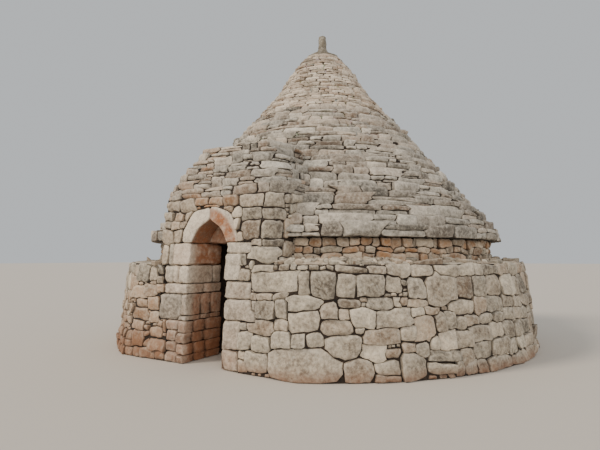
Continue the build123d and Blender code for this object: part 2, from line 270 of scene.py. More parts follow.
# How each kind of stone is cut, in metres. power is the range of roundness of the outlines,
# from 2, an oval, up to a box; lean is how far stones are turned, in radians; reach is how
# many times its own size a stone may grow to; bend is how far the joints are bent; shift is
# the power that moves the joints across a deep block's sides
FIELD = {
    "joint": 0.012, "count": 20, "proud": (0.016, 0.055), "depth": 0.03, "bevel": 0.011,
    "bulge": 0.010, "rough": 0.008, "power": (2.8, 7), "lean": 0.08, "reach": (1.2, 1.55),
    "bend": 0.016, "smallest": 0.0009, "rings": FIELD_RINGS, "upright": True, "shift": (1, 1),
}
SLAB = {
    **FIELD, "joint": 0.012, "proud": (0.004, 0.055), "bevel": 0.012, "bulge": 0.008,
    "rough": 0.010, "power": (2.4, 6), "lean": 0.025, "reach": (1.3, 2.3), "bend": 0.006,
    "smallest": 0.0016, "rings": SLAB_RINGS,
}
THIN = {
    **SLAB, "joint": 0.014, "count": 16, "proud": (0.002, 0.06), "bevel": 0.008, "bulge": 0.006,
    "rough": 0.008, "lean": 0.02, "reach": (1.0, 1.5), "bend": 0.004, "smallest": 0.001,
}
TOP = {**THIN, "proud": (0.0, 0.03)}
BAY_SLAB = {**SLAB, "proud": (0.004, 0.05)}
FLAT = {
    **SLAB, "depth": 0.05, "proud": (0.010, 0.045), "power": (2.6, 6), "lean": 0.12,
    "upright": False,
}
LEDGE = {**FLAT, "proud": (0.010, 0.065)}
DRUM = {**FIELD, "count": 16, "proud": (0.015, 0.075), "rough": 0.007}
BLOCK = {
    **FIELD, "joint": 0.010, "count": 32, "proud": (0.012, 0.03), "bevel": 0.022, "bulge": 0.008,
    "rough": 0.010, "power": (6, 9), "lean": 0.0, "reach": (1.5, 1.5), "bend": 0.0,
    "shift": (0.7, 1.35),
}
ARCH = {
    **BLOCK, "joint": 0.008, "count": 56, "proud": (0.016, 0.022), "bevel": 0.012,
    "bulge": 0.006, "rough": 0.006, "power": (2, 2), "reach": (1.9, 1.9), "rings": deep_rings(),
}
TYMPANUM = {
    **BLOCK, "joint": 0.008, "count": 40, "proud": (0.0, 0.004), "bevel": 0.012,
    "power": (9, 9), "rings": deep_rings(),
}
CHIP = {
    **FIELD, "joint": 0.002, "count": 12, "proud": (0.01, 0.09), "depth": 0.04, "bevel": 0.010,
    "bulge": 0.008, "power": (2.5, 5), "lean": 0.5, "bend": 0.0, "smallest": 0.0004,
    "rings": CHIP_RINGS, "upright": False,
}


def linear(code):
    """An sRGB hex colour as linear red, green, blue: ((c + 0.055) / 1.055) ** 2.4 above 0.04."""
    channels = np.array([int(code[i : i + 2], 16) for i in (1, 3, 5)]) / 255
    low = channels / 12.92
    high = ((channels + 0.055) / 1.055) ** 2.4
    return tuple(float(c) for c in np.where(channels <= 0.04045, low, high))


def ripple(points, wavelength, seed):
    """Smooth relief from about -1 to 1: the mean of nine sines of the points, each along a
    random direction and with a length within half as much again of the wavelength."""
    draw = np.random.default_rng(seed)
    directions = draw.normal(size=(9, points.shape[-1]))
    directions /= np.linalg.norm(directions, axis=1, keepdims=True)
    waves = 2 * pi / (wavelength * draw.uniform(0.55, 1.5, 9))
    phases = draw.uniform(0, 2 * pi, 9)
    return 1.8 * np.sin(points @ (directions * waves[:, None]).T + phases).mean(-1)


def smooth_step(value, low, high):
    """0 below low, 1 above high, and t * t * (3 - 2 t) between them."""
    t = np.clip((value - low) / (high - low), 0, 1)
    return t * t * (3 - 2 * t)


# Faces that stones are laid on. Each turns (u along it, v up or inwards, w out of it) into
# points; i is the number of the stone, for faces that differ from course to course.


def around(turn, radius, z):
    """The point at an angle from the doorway's side, a radius from the axis and a height."""
    turn, radius, z = np.broadcast_arrays(turn, radius, z)
    return np.stack([radius * np.sin(turn), AXIS_Y - radius * np.cos(turn), z], -1)


def facade_at(z):
    """Distance of the battered facade from the axis: its foot less the batter times z."""
    return FACADE_FOOT - FACADE_BATTER * z


def facade(u, v, w, i=None):
    """The facade's plane, leaning back by the batter."""
    return np.stack([u + 0 * w, AXIS_Y - facade_at(v) - w, v + 0 * w], -1)


def ring_wall(u, v, w, i=None):
    """The battered foot wall, cut flat at the facade: the nearer of the leaning circle and
    the facade's plane, pushed out along a direction that turns smoothly between the two."""
    turn = u / WALL_REACH
    circle = FOOT_RADIUS - (FOOT_RADIUS - LEDGE_RADIUS) * v / LEDGE_HEIGHT
    plane = facade_at(v) / np.cos(np.clip(turn, -1, 1))
    radius = np.where(np.abs(turn) < 1, np.minimum(circle, plane), circle)
    share = smooth_step(np.abs(turn), 0.28, 0.5)
    out_x, out_y = share * np.sin(turn), -1 + share * (1 - np.cos(turn))
    length = np.hypot(out_x, out_y)
    spot = around(turn, radius, v)
    push = np.stack([w * out_x / length, w * out_y / length, 0 * w], -1)
    return spot + push


def bay_path(s, front, left, right, corners):
    """Plan of the bay's face at a distance s from the doorway's middle line: straight, round
    a corner of its own radius, then straight back. Gives x, y and the angle it faces."""

    def one_side(along, reach, corner):
        """x and y of one side of the path, and how far it has turned."""
        flat = reach - corner
        bend = np.clip((along - flat) / corner, 0, pi / 2)
        back = np.maximum(along - flat - corner * pi / 2, 0)
        x = np.minimum(along, flat) + corner * np.sin(bend)
        return x, corner * (1 - np.cos(bend)) + back, bend

    on_right = s >= 0
    x1, y1, bend1 = one_side(np.maximum(s, 0), right, corners[1])
    x0, y0, bend0 = one_side(np.maximum(-s, 0), left, corners[0])
    x = np.where(on_right, x1, -x0)
    y = AXIS_Y - front + np.where(on_right, y1, y0)
    return x, y, np.where(on_right, bend1, -bend0)


def bay_wall(u, v, w, i=None):
    """The bay's face between the ledge and its roof: corners that are round in plan, cut by
    the leaning facade, and a little larger below the eaves than above."""
    below = smooth_step(EAVE_HEIGHT + 0.06 - v, 0, 0.06)
    front = facade_at(EAVE_HEIGHT) + below * FACADE_BATTER * (EAVE_HEIGHT - LEDGE_HEIGHT)
    x, y, turn = bay_path(u, front + FACADE_DRESSING, BAY_LEFT, BAY_RIGHT, BAY_CORNERS)
    y = np.maximum(y, AXIS_Y - facade_at(v))
    return np.stack([x + w * np.sin(turn), y - w * np.cos(turn), v + 0 * w], -1)


def ledge_top(u, v, w, i=None):
    """Flat ring at the ledge's height; v runs inwards from its outer edge."""
    return around(u / LEDGE_REACH, LEDGE_RADIUS - v, LEDGE_HEIGHT + w)


def ledge_bed(u, v, w, i=None):
    """The ledge, whose stones stand out less on the left of the doorway."""
    left = smooth_step(-u, 0.7, 1.2) * (1 - smooth_step(-u, 2.5, 4.5))
    return ledge_top(u, v, w * (1 - 0.7 * left))


def chip_bed(u, v, w, i=None):
    """The top of the ledge's flat stones, rising a little to the drum."""
    return ledge_top(u, v, w + 0.015 + 0.1 * v)


def slab_face(u, v, w, i=None):
    """The upright front of the slabs behind the arch."""
    return np.stack([u, AXIS_Y - TYMPANUM_FRONT - w, v + 0 * w], -1)


def drum_wall(u, v, w, i=None):
    """Upright ring of the drum's radius."""
    return around(u / DRUM_RADIUS, DRUM_RADIUS + w, v)


def cone_radius(z):
    """Radius of the cone's face: a straight slope with a sine swelling near the top."""
    straight = EAVE_RADIUS - CONE_SLOPE * (z - EAVE_HEIGHT)
    share = np.clip((z - SHOULDER[0]) / (SHOULDER[1] - SHOULDER[0]), 0, 1)
    return straight + SHOULDER[2] * np.sin(pi * share)


# The courses of the cone, from the CAD tiers: base, thickness and radius of each
CONE_COURSES = []
for tier, courses in TIER_COURSES.items():
    tier_low, tier_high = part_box(tier)
    levels = np.linspace(tier_low.z, tier_high.z, courses + 1)
    CONE_COURSES += [(a, b - a, float(cone_radius(a))) for a, b in zip(levels[:-1], levels[1:])]
CONE_COURSES = np.array(CONE_COURSES)
FIRST_ROOF_COURSE = TIER_COURSES["cone_slab_tier_1"]


# Stones


def turned(offsets, angle):
    """Flat offsets turned by an angle: (x cos - y sin, x sin + y cos)."""
    x, y = offsets[..., 0], offsets[..., 1]
    cos, sin = np.cos(angle), np.sin(angle)
    return np.stack([x * cos - y * sin, x * sin + y * cos], -1)


def wrapped(offsets, period):
    """Flat offsets whose first number is taken the short way round a closed face."""
    x = (offsets[..., 0] + period / 2) % period - period / 2
    return np.stack([x, offsets[..., 1]], -1)


def capped_rings(rows, count):
    """Four-sided faces of rings of points, one row after another: walls from each ring to the
    next, and at both ends a fan to the point that closes it. The two points follow the rings."""
    k = np.arange(count)
    ahead = (k + 1) % count
    row = (np.arange(rows - 1) * count)[:, None]
    walls = np.stack([row + k, row + ahead, row + count + ahead, row + count + k], -1)
    even = k[::2]
    three = np.stack([even, (even + 1) % count, (even + 2) % count], -1)
    back, front = (np.full((len(even), 1), rows * count + end) for end in (0, 1))
    fan = np.hstack([three[:, ::-1], back])
    cap = np.hstack([(rows - 1) * count + three, front])
    return np.concatenate([walls.reshape(-1, 4), fan, cap])


def stone_rims(sites, numbers, room, joint, count, power, lean, reach, period, group):
    """Outlines of stones that share a face, as offsets from each stone's middle.

    Each site is (u, v, half width, half height), turned by its lean, and its own measure of
    a point is (|du / half width| ** power + |dv / half height| ** power) ** (1 / power).
    Rays leave its middle at even angles and stop where another stone's measure gets
    smaller, where the room left on the face runs out, or at the reach. Half the joint is
    then taken off. Gives the outlines and their areas.
    """
    middle, half = sites[:, None, None, :2], sites[:, None, None, 2:4]
    turn = (np.arange(count) + 0.5) * 2 * pi / count
    rays = np.stack([np.cos(turn), np.sin(turn)], -1)
    own = power[:, None, None]
    rays = rays / (np.abs(rays) ** own).sum(-1, keepdims=True) ** (1 / own) * sites[:, None, 2:4]
    rays = turned(rays, lean[:, None])
    steps = RAY_START + np.linspace(0, 1, RAY_STEPS) * (reach[:, None, None] - RAY_START)
    points = middle + rays[:, :, None] * steps[..., None]

    turns = np.where(period > 0, period, 1e9)
    gap = np.abs(wrapped(sites[:, None, :2] - sites[None, :, :2], turns[:, None]))
    closeness = (gap / (sites[:, None, 2:4] + sites[None, :, 2:4])).max(-1)
    closeness[group[:, None] != group[None]] = np.inf
    np.fill_diagonal(closeness, -1)
    near = np.argsort(closeness, axis=1)[:, 1 : NEIGHBOURS + 1]
    nearest = np.full(points.shape[:-1], np.inf)
    for other in near.T:
        away = wrapped(points - sites[other, None, None, :2], turns[:, None, None])
        away = np.abs(turned(away, -lean[other, None, None])) / sites[other, None, None, 2:4]
        own = power[other][:, None, None]
        measure = (away ** own[..., None]).sum(-1) ** (1 / own)
        apart = closeness[np.arange(len(sites)), other][:, None, None]
        nearest = np.minimum(nearest, np.where(apart < np.inf, measure, np.inf))

    space = room(points[..., 0], points[..., 1], numbers[:, None, None])
    clear = np.minimum((nearest - steps) * half.min(-1), space)
    blocked = clear < 0
    first = np.where(blocked.any(-1), blocked.argmax(-1), clear.shape[-1] - 1)
    before = np.maximum(first - 1, 0)
    here = np.take_along_axis(clear, before[..., None], -1)[..., 0]
    there = np.take_along_axis(clear, first[..., None], -1)[..., 0]
    share = np.where(blocked.any(-1), here / np.maximum(here - there, 1e-9), 1)
    low, high = (np.take_along_axis(steps[:, 0], index, -1) for index in (before, first))
    stop = low + np.clip(share, 0, 1) * (high - low)
    stop = np.where(blocked[..., 0], LEAST_SHARE, stop)
    length = np.linalg.norm(rays, axis=-1)
    stop = np.maximum(stop - joint[:, None] / 2 / length, LEAST_SHARE)
    rims = rays * stop[..., None]
    ahead = np.roll(rims, -1, axis=1)
    area = 0.5 * np.abs((rims[..., 0] * ahead[..., 1] - rims[..., 1] * ahead[..., 0]).sum(1))
    return rims, area


def stone_shells(face, sites, numbers, rims, proud, depth, seed, kind):
    """Closed stones from their outlines.

    Each ring is the outline drawn in by its share of the bevel and scaled, at a height over
    the face made of its shares of the depth, the stand-out, the bulge and the bevel. Two
    sizes of ripple, weaker on stones under 100 mm, push its sides in and out. The face tilts
    at random, loses up to three flat corners where a point lies past a random line, and gets
    ripple of its own. A point closes the back and the face.
    """
    draw = np.random.default_rng(seed)
    n, count = rims.shape[:2]
    rings, rough = kind["rings"], kind["rough"]
    drawn_in, scale, by_depth, by_proud, by_bulge, by_bevel, wear_and_highlight, dirt_and_shade = rings.T
    by_depth = -np.abs(by_depth) ** draw.uniform(*kind["shift"], (n, 1))
    bulge = kind["bulge"] * draw.uniform(0.3, 1.7, n)
    reach = np.linalg.norm(rims, axis=2)
    strength = np.clip(reach.mean(1) / 0.1, 0.3, 1)
    size = np.minimum(kind["bevel"] * draw.uniform(0.6, 1.6, n), 0.3 * reach.mean(1))
    heights = (
        by_depth * depth[:, None]
        + by_proud * proud[:, None]
        + by_bulge * bulge[:, None]
        + by_bevel * size[:, None]
    )
    high = np.broadcast_to(heights[:, :, None], (n, len(rings), count)).copy()
    drawn = 1 - drawn_in[:, None] * (size[:, None, None] / np.maximum(reach, 0.02)[:, None])
    plan = np.broadcast_to((sites[:, None, :2] + rims)[:, None], (*high.shape, 2))
    solid = np.concatenate([plan, high[..., None]], -1)
    push = rough * (ripple(solid, 0.2, seed + 1) + 0.6 * ripple(solid, 0.06, seed + 2))
    push *= strength[:, None, None]
    drawn = np.maximum(drawn, 0.1) + push / np.maximum(reach, 0.04)[:, None]
    flat = rims[:, None] * (scale[:, None] * drawn)[..., None]

    plain = flat / np.maximum(sites[:, None, None, 2:4], 0.02)
    on_face = (by_proud * (rings[:, 2] == 0))[:, None]
    lean = draw.normal(0, 0.3, (n, 1, 1, 2)) * proud[:, None, None, None]
    high += on_face * (plain * lean).sum(-1)
    for _ in range(3):
        angle = draw.uniform(0, 2 * pi, (n, 1, 1))
        past = plain[..., 0] * np.cos(angle) + plain[..., 1] * np.sin(angle)
        past = np.maximum(past - draw.uniform(0.2, 0.8, (n, 1, 1)), 0)
        high -= on_face * past * draw.uniform(0, 1.8, (n, 1, 1)) * size[:, None, None]

    centre = np.zeros((n, 1, 2))
    flat = np.concatenate([flat.reshape(n, -1, 2), centre, centre], 1) + sites[:, None, :2]
    top = high[:, -1].mean(1, keepdims=True) + 0.06 * bulge[:, None]
    high = np.concatenate([high.reshape(n, -1), heights[:, :1], top], 1)
    seen = np.concatenate([np.repeat(by_proud > 0, count), [False, True]])
    spots = face(flat[..., 0], flat[..., 1], high, numbers[:, None])
    grain = rough * (0.7 * ripple(spots, 0.15, seed + 3) + 0.4 * ripple(spots, 0.05, seed + 4))
    grain *= strength[:, None]
    spots = face(flat[..., 0], flat[..., 1], high + grain * seen, numbers[:, None])
    faces = capped_rings(len(rings), count) + (np.arange(n) * spots.shape[1])[:, None, None]

    # Undersides and the sides in the joints are darker, dirt with painted shade on top, and the
    # upper arrises lighter, wear from rain with painted highlight on top
    down = 0.5 - 0.5 * rims[..., 1] / reach if kind["upright"] else np.full((n, count), 0.35)
    under = (0.25 + 0.9 * down)[:, None] * dirt_and_shade[:, None]
    over = (1.1 - 0.7 * down)[:, None] * wear_and_highlight[:, None]
    ends = np.zeros((n, 2))
    values = {
        "wear_and_highlight": np.concatenate([over.reshape(n, -1), ends], 1),
        "dirt_and_shade": np.concatenate([under.reshape(n, -1), ends + [1, 0]], 1),
    }
    return spots, faces, values


def with_room(sites, room):
    """Sites moved along or up by part of their own size where that brings their middle into
    the free part of the face, and cut down to what is left of them."""
    sites, numbers = sites.copy(), np.arange(len(sites))
    for share in (0.4, 0.75):
        for along, up in ((share, 0), (-share, 0), (0, share), (0, -share)):
            u, v = sites[:, 0] + along * sites[:, 2], sites[:, 1] + up * sites[:, 3]
            lost = room(sites[:, 0], sites[:, 1], numbers) < LEAST_ROOM
            moved = lost & (room(u, v, numbers) > 1.5 * LEAST_ROOM)
            wide, tall = sites[:, 2] * (1 - abs(along)), sites[:, 3] * (1 - abs(up))
            sites = np.where(moved[:, None], np.stack([u, v, wide, tall], -1), sites)
    return sites


def bent(face, room, size, seed):
    """The face with its joints bent: every spot is moved along and up by ripple, less and
    less towards the edges of the room."""

    def bent_face(u, v, w, i=None):
        """The face at the moved spot."""
        spot = face(u, v, 0 * w, i)
        fade = size * smooth_step(room(u, v, i), 0.0, 0.09)
        along = ripple(spot, 0.4, seed) + 0.5 * ripple(spot, 0.13, seed + 1)
        up = ripple(spot, 0.4, seed + 2) + 0.5 * ripple(spot, 0.13, seed + 3)
        return face(u + fade * along, v + fade * up, w, i)

    return bent_face


def lay_stones(face, sites, room, look, seed, kind, depth=None, period=0.0, group=None, fixed=0):
    """Lays stones of one kind on a face. Sites whose stones have no room or would be too
    small are dropped, and the others grow into their places, apart from the first few, which
    are fixed. Gives the stones' points, faces, values and numbers, with tone, warmth and
    soil from the look."""
    draw = np.random.default_rng(seed)
    n = len(sites)
    depth = np.broadcast_to(kind["depth"] if depth is None else depth, n)
    period = np.broadcast_to(period, n)
    group = np.zeros(n) if group is None else group
    power, reach = draw.uniform(*kind["power"], n), draw.uniform(*kind["reach"], n)
    lean = kind["lean"] * draw.normal(size=n)
    # Fixed stones keep close to their own size and are squarer
    reach[:fixed] = np.minimum(reach[:fixed], draw.uniform(1.12, 1.3, fixed))
    power[:fixed] += 1.5
    sites = with_room(sites, room)
    joint = kind["joint"] * draw.uniform(0.3, 1.7, n)
    proud = np.minimum(draw.uniform(*kind["proud"], n), 0.9 * sites[:, 2:4].min(1))
    order = np.flatnonzero(room(sites[:, 0], sites[:, 1], np.arange(n)) > LEAST_ROOM)
    for _ in range(3):
        rims, area = stone_rims(
            sites[order], order, room, joint[order], kind["count"], power[order],
            lean[order], reach[order], period[order], group[order],
        )
        rims, order = rims[area > kind["smallest"]], order[area > kind["smallest"]]
    curved = bent(face, room, kind["bend"], seed + 5) if kind["bend"] else face
    points, faces, values = stone_shells(
        curved, sites[order], order, rims, proud[order], depth[order], seed, kind
    )
    for key, numbers in zip(("tone", "warmth", "soil"), look(points, draw)):
        values[key] = np.broadcast_to(numbers, points.shape[:2])
    return points, faces, values, order


def add_piece(name, laid, finish, stands_for=()):
    """Makes a mesh of four-sided faces with one number per point for each named value, gives
    it the finish of that name and its slot, and lets it ride on the house."""
    points, faces, values = laid[:3]
    if not len(faces):
        raise RuntimeError(f"{name} has no stones")
    mesh = bpy.data.meshes.new(name)
    points = np.ascontiguousarray(points.reshape(-1, 3), dtype=np.float32)
    faces = np.ascontiguousarray(faces.reshape(-1, 4), dtype=np.int32)
    mesh.vertices.add(len(points))
    mesh.vertices.foreach_set("co", points.ravel())
    mesh.loops.add(faces.size)
    mesh.loops.foreach_set("vertex_index", faces.ravel())
    mesh.polygons.add(len(faces))
    mesh.polygons.foreach_set("loop_start", np.arange(len(faces), dtype=np.int32) * 4)
    mesh.polygons.foreach_set("use_smooth", np.ones(len(faces), dtype=bool))
    mesh.update(calc_edges=True)
    for key, numbers in values.items():
        attribute = mesh.attributes.new(key, "FLOAT", "POINT")
        attribute.data.foreach_set("value", np.ascontiguousarray(numbers.ravel(), dtype=np.float32))
    mesh.set_sharp_from_angle(angle=radians(40))
    mesh.materials.append(finish_named(finish))
    piece = bpy.data.objects.new(name, mesh)
    bpy.context.scene.collection.objects.link(piece)
    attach(piece, "root")
    if stands_for:
        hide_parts(*stands_for)


QUARTERS = ("front", "right", "back", "left")
HALVES = ("front_right", "back_left")


def add_pieces(name, laid, finish, parts=QUARTERS):
    """Adds laid stones as one piece for each part of the house: the quarter that a stone's
    middle faces, or the half that two quarters make."""
    points, faces, values, _ = laid
    middle = points.mean(1)
    turn = np.arctan2(middle[:, 0], AXIS_Y - middle[:, 1])
    quarter = np.round(turn / (pi / 2)).astype(int) % len(QUARTERS)
    for label, part in enumerate(parts):
        chosen = np.flatnonzero(quarter * len(parts) // len(QUARTERS) == label)
        own_faces = faces[0] + (np.arange(len(chosen)) * points.shape[1])[:, None, None]
        own_values = {key: numbers[chosen] for key, numbers in values.items()}
        add_piece(f"{name}_{part}", (points[chosen], own_faces, own_values), finish)


def laid_rows(box, row_height, stone_width, seed, level=0.12, large=0.1, uneven=(0.5, 1.6)):
    """Sites of rough stones laid in rows in a box (start, end, low, high): row heights and
    stone widths are drawn round the given ones and scaled to fill it, and a share of the
    stones is larger than its row."""
    start, end, low, high = box
    draw = np.random.default_rng(seed)
    rows = max(1, round((high - low) / row_height))
    tall = draw.uniform(0.7, 1.35, rows)
    edges = low + np.concatenate([[0], np.cumsum(tall)]) * (high - low) / tall.sum()
    sites = []
    for bottom, top in zip(edges[:-1], edges[1:]):
        stones = max(1, round((end - start) / stone_width))
        wide = draw.uniform(*uneven, stones)
        cuts = start + np.concatenate([[0], np.cumsum(wide)]) * (end - start) / wide.sum()
        middle = (cuts[1:] + cuts[:-1]) / 2
        half = (cuts[1:] - cuts[:-1]) / 2
        grow = np.where(draw.random(stones) < large, draw.uniform(1.2, 1.6, stones), 1)
        height = (top - bottom) / 2
        level_line = (bottom + top) / 2 + draw.normal(0, level, stones) * height * 2
        sites.append(np.stack([middle, level_line, half * grow**0.5, height * grow], -1))
    return np.concatenate(sites)


def without_overlap(sites, placed, period=0.0):
    """Sites whose middle doesn't lie on a placed stone grown by 0.45 of the site's own size."""
    gap = np.abs(sites[:, None, :2] - placed[None, :, :2])
    if period:
        gap[..., 0] = np.minimum(gap[..., 0], np.abs(period - gap[..., 0]))
    measure = gap / (placed[None, :, 2:4] + 0.45 * sites[:, None, 2:4])
    return sites[(measure.max(-1) > 1).all(1)]


def chinked(sites, room, box, seed, period=0.0, spacing=0.03, least=0.017, grown=1.12):
    """The sites, and small chinking stones in the gaps they leave: of points on a shaken
    grid, the one furthest from every stone, grown a little, gets a stone of that size, over
    and over. A stone is taken as a box whose corners are rounded to a fifth-power oval."""
    start, end, low, high = box
    draw = np.random.default_rng(seed)
    grid = np.meshgrid(np.arange(start, end, spacing), np.arange(low, high, spacing))
    spots = np.stack(grid, -1).reshape(-1, 2)
    spots = spots + draw.uniform(-0.4, 0.4, spots.shape) * spacing
    clear = room(spots[:, 0], spots[:, 1], None)
    spots, clear = spots[clear > least], clear[clear > least]
    waiting, added = list(sites), []
    while len(spots):
        for site in waiting:
            away = np.abs(spots - site[:2])
            if period:
                away[:, 0] = np.minimum(away[:, 0], np.abs(period - away[:, 0]))
            half = grown * site[2:4]
            box_share = np.maximum((away / half).max(-1), 0.5)
            oval_share = np.maximum(((away / half) ** 5).sum(-1) ** 0.2, box_share)
            corner = np.linalg.norm(away, axis=-1) * (1 / box_share - 1 / oval_share)
            clear = np.minimum(clear, (away - half).max(-1) + 0.5 * corner)
        best = clear.argmax()
        if clear[best] < least:
            break
        wide, tall = clear[best] * draw.uniform(1.0, 1.7), clear[best] * draw.uniform(0.8, 1.1)
        waiting = [np.array([*spots[best], wide, tall])]
        added += waiting
    return np.concatenate([sites, added]) if added else sites


# Rooms on the faces: metres left to the edge of the free part, negative outside it


def middle_and_half(name):
    """Middle and half size of a solid's box, seen from the front: x, z, half x, half z."""
    low, high = (np.array([corner.x, corner.z]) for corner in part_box(name))
    return (*(low + high) / 2, *(high - low) / 2)


JAMBS = [middle_and_half(f"{side}_jamb_block_{number}") for side, number in JAMB_LOOKS]


def arch_distance(x, z):
    """Distance outside the arch stones' outer edge, an oval whose shoulders are rounded by
    its power: the length to the point less its share inside."""
    base, wide, tall, power = ARCH_OUTLINE
    up = np.maximum(z - base, 0.001)
    share = ((np.abs(x) / wide) ** power + (up / tall) ** power) ** (1 / power)
    return np.hypot(x, up) * (1 - 1 / np.maximum(share, 0.2))


def surround_room(x, z):
    """Distance to the dressed stones round the doorway: the least over the jamb blocks and
    the opening, each a box, and over the arch."""
    room = np.full(np.broadcast(x, z).shape, 9.0)
    opening = (0, DOOR_HEIGHT / 2, DOOR_HALF_WIDTH, DOOR_HEIGHT / 2)
    for cx, cz, hx, hz in [*JAMBS, opening]:
        room = np.minimum(room, np.maximum(np.abs(x - cx) - hx, np.abs(z - cz) - hz))
    return np.minimum(room, np.maximum(arch_distance(x, z), DOOR_HEIGHT - z))


def seam_height(x):
    """Height where the facade's lower stones end: the ledge's, waving where the face is flat."""
    wave = 0.05 * np.sin(9 * x) + 0.02 * np.sin(23 * x + 1)
    flat = smooth_step(x, -BAY_LEFT - 0.05, -BAY_LEFT + 0.15)
    flat = flat * smooth_step(-x, -BAY_RIGHT + 0.1, -BAY_RIGHT + 0.35)
    return LEDGE_HEIGHT + wave * flat, flat


def foot_wall_room(u, v, i):
    """Room on the foot wall: above the ground, below the ledge stones, clear of the door."""
    x = ring_wall(u, v, 0 * u)[..., 0]
    front = np.abs(u / WALL_REACH) < 1
    seam, flat = seam_height(x)
    edge = LEDGE_HEIGHT + 0.008 + 0.016 * np.sin(5 * u + np.sin(3 * u)) + 0.008 * np.sin(19 * u)
    top = np.where(front & (flat > 0), seam - 0.002, edge) - v
    return np.minimum(np.minimum(v - BED_GAP, top), np.where(front, surround_room(x, v), 9))


def bay_wall_room(u, v, i):
    """Room on the bay: above the seam, below its roof, in front of the drum and the cone."""
    spot = bay_wall(u, v, 0 * u)
    x, y = spot[..., 0], spot[..., 1] - AXIS_Y
    seam, flat = seam_height(x)
    behind = np.hypot(x, y) - np.where(v < EAVE_HEIGHT, DRUM_RADIUS, cone_radius(v))
    low = v - np.where(flat > 0, seam, LEDGE_HEIGHT + 0.02)
    return np.minimum.reduce([low, BAY_HEIGHT - BED_GAP - v, behind + 0.03, surround_room(x, v)])


def beside_bay(spot, slack=0.0):
    """Room beside the bay for stones of the ledge, the drum and the cone, which stop at its
    sides or run past them by the slack."""
    x, front = spot[..., 0], spot[..., 1] < AXIS_Y
    return np.where(front, np.maximum(x - BAY_RIGHT, -BAY_LEFT - x) + slack, 9)


def ledge_room(u, v, i):
    """Room on the ledge: from its waving outer edge to the drum, beside the bay."""
    edge = v - 0.03 - 0.03 * np.sin(u * 7 + np.sin(u * 3))
    width = LEDGE_RADIUS - DRUM_RADIUS
    return np.minimum.reduce([edge, width + 0.02 - v, beside_bay(ledge_top(u, v, 0 * u))])


def drum_room(u, v, i):
    """Room on the drum: between the ledge and the eaves, beside the bay."""
    edges = np.minimum(v - LEDGE_HEIGHT - 0.01, EAVE_HEIGHT - BED_GAP - v)
    return np.minimum(edges, beside_bay(drum_wall(u, v, 0 * u)))


def room_of_box(name, gap=0.0):
    """Room inside a solid's box, seen from the front, over a gap at its foot."""
    low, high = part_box(name)

    def room(u, v, i):
        """The least distance to the box's sides."""
        return np.minimum.reduce([u - low.x, high.x - u, v - low.z - gap, high.z - v])

    return room


# Finishes


def node(tree, kind, inputs=None, stops=None, **settings):
    """Adds one shader node with its settings, the values or links of its inputs and, for a
    colour ramp, its stops."""
    made = tree.nodes.new("ShaderNode" + kind)
    for key, value in settings.items():
        setattr(made, key, value)
    for key, value in (inputs or {}).items():
        if isinstance(value, bpy.types.NodeSocket):
            tree.links.new(value, made.inputs[key])
        else:
            made.inputs[key].default_value = value
    if stops:
        ramp = made.color_ramp
        while len(ramp.elements) < len(stops):
            ramp.elements.new(0.5)
        for element, (place, colour) in zip(ramp.elements, stops):
            element.position = place
            element.color = (*colour, 1)
    return made


BLACK = (0.0,) * 3
GREY = (0.4,) * 3
WHITE = (1.0,) * 3

# Patterns on the limestone, each as noise: (size in metres, detail, roughness)
NOISES = {
    "patches": (0.25, 3, 0.6),
    "mottle": (0.05, 8, 0.7),
    "clouds": (0.12, 5, 0.6),
    "films": (0.14, 10, 0.75),
    "pits": (0.02, 3, 0.6),
    "spots": (0.04, 6, 0.55),
    "grit": (0.007, 4, 0.6),
}

# Where the patterns that lie on the stone start, their shade there, and where they are full
EDGES = {
    "clouds": (0.25, GREY, 0.55),
    "films": (0.5, BLACK, 0.7),
    "pits": (0.6, BLACK, 0.68),
    "spots": (0.56, BLACK, 0.64),
}


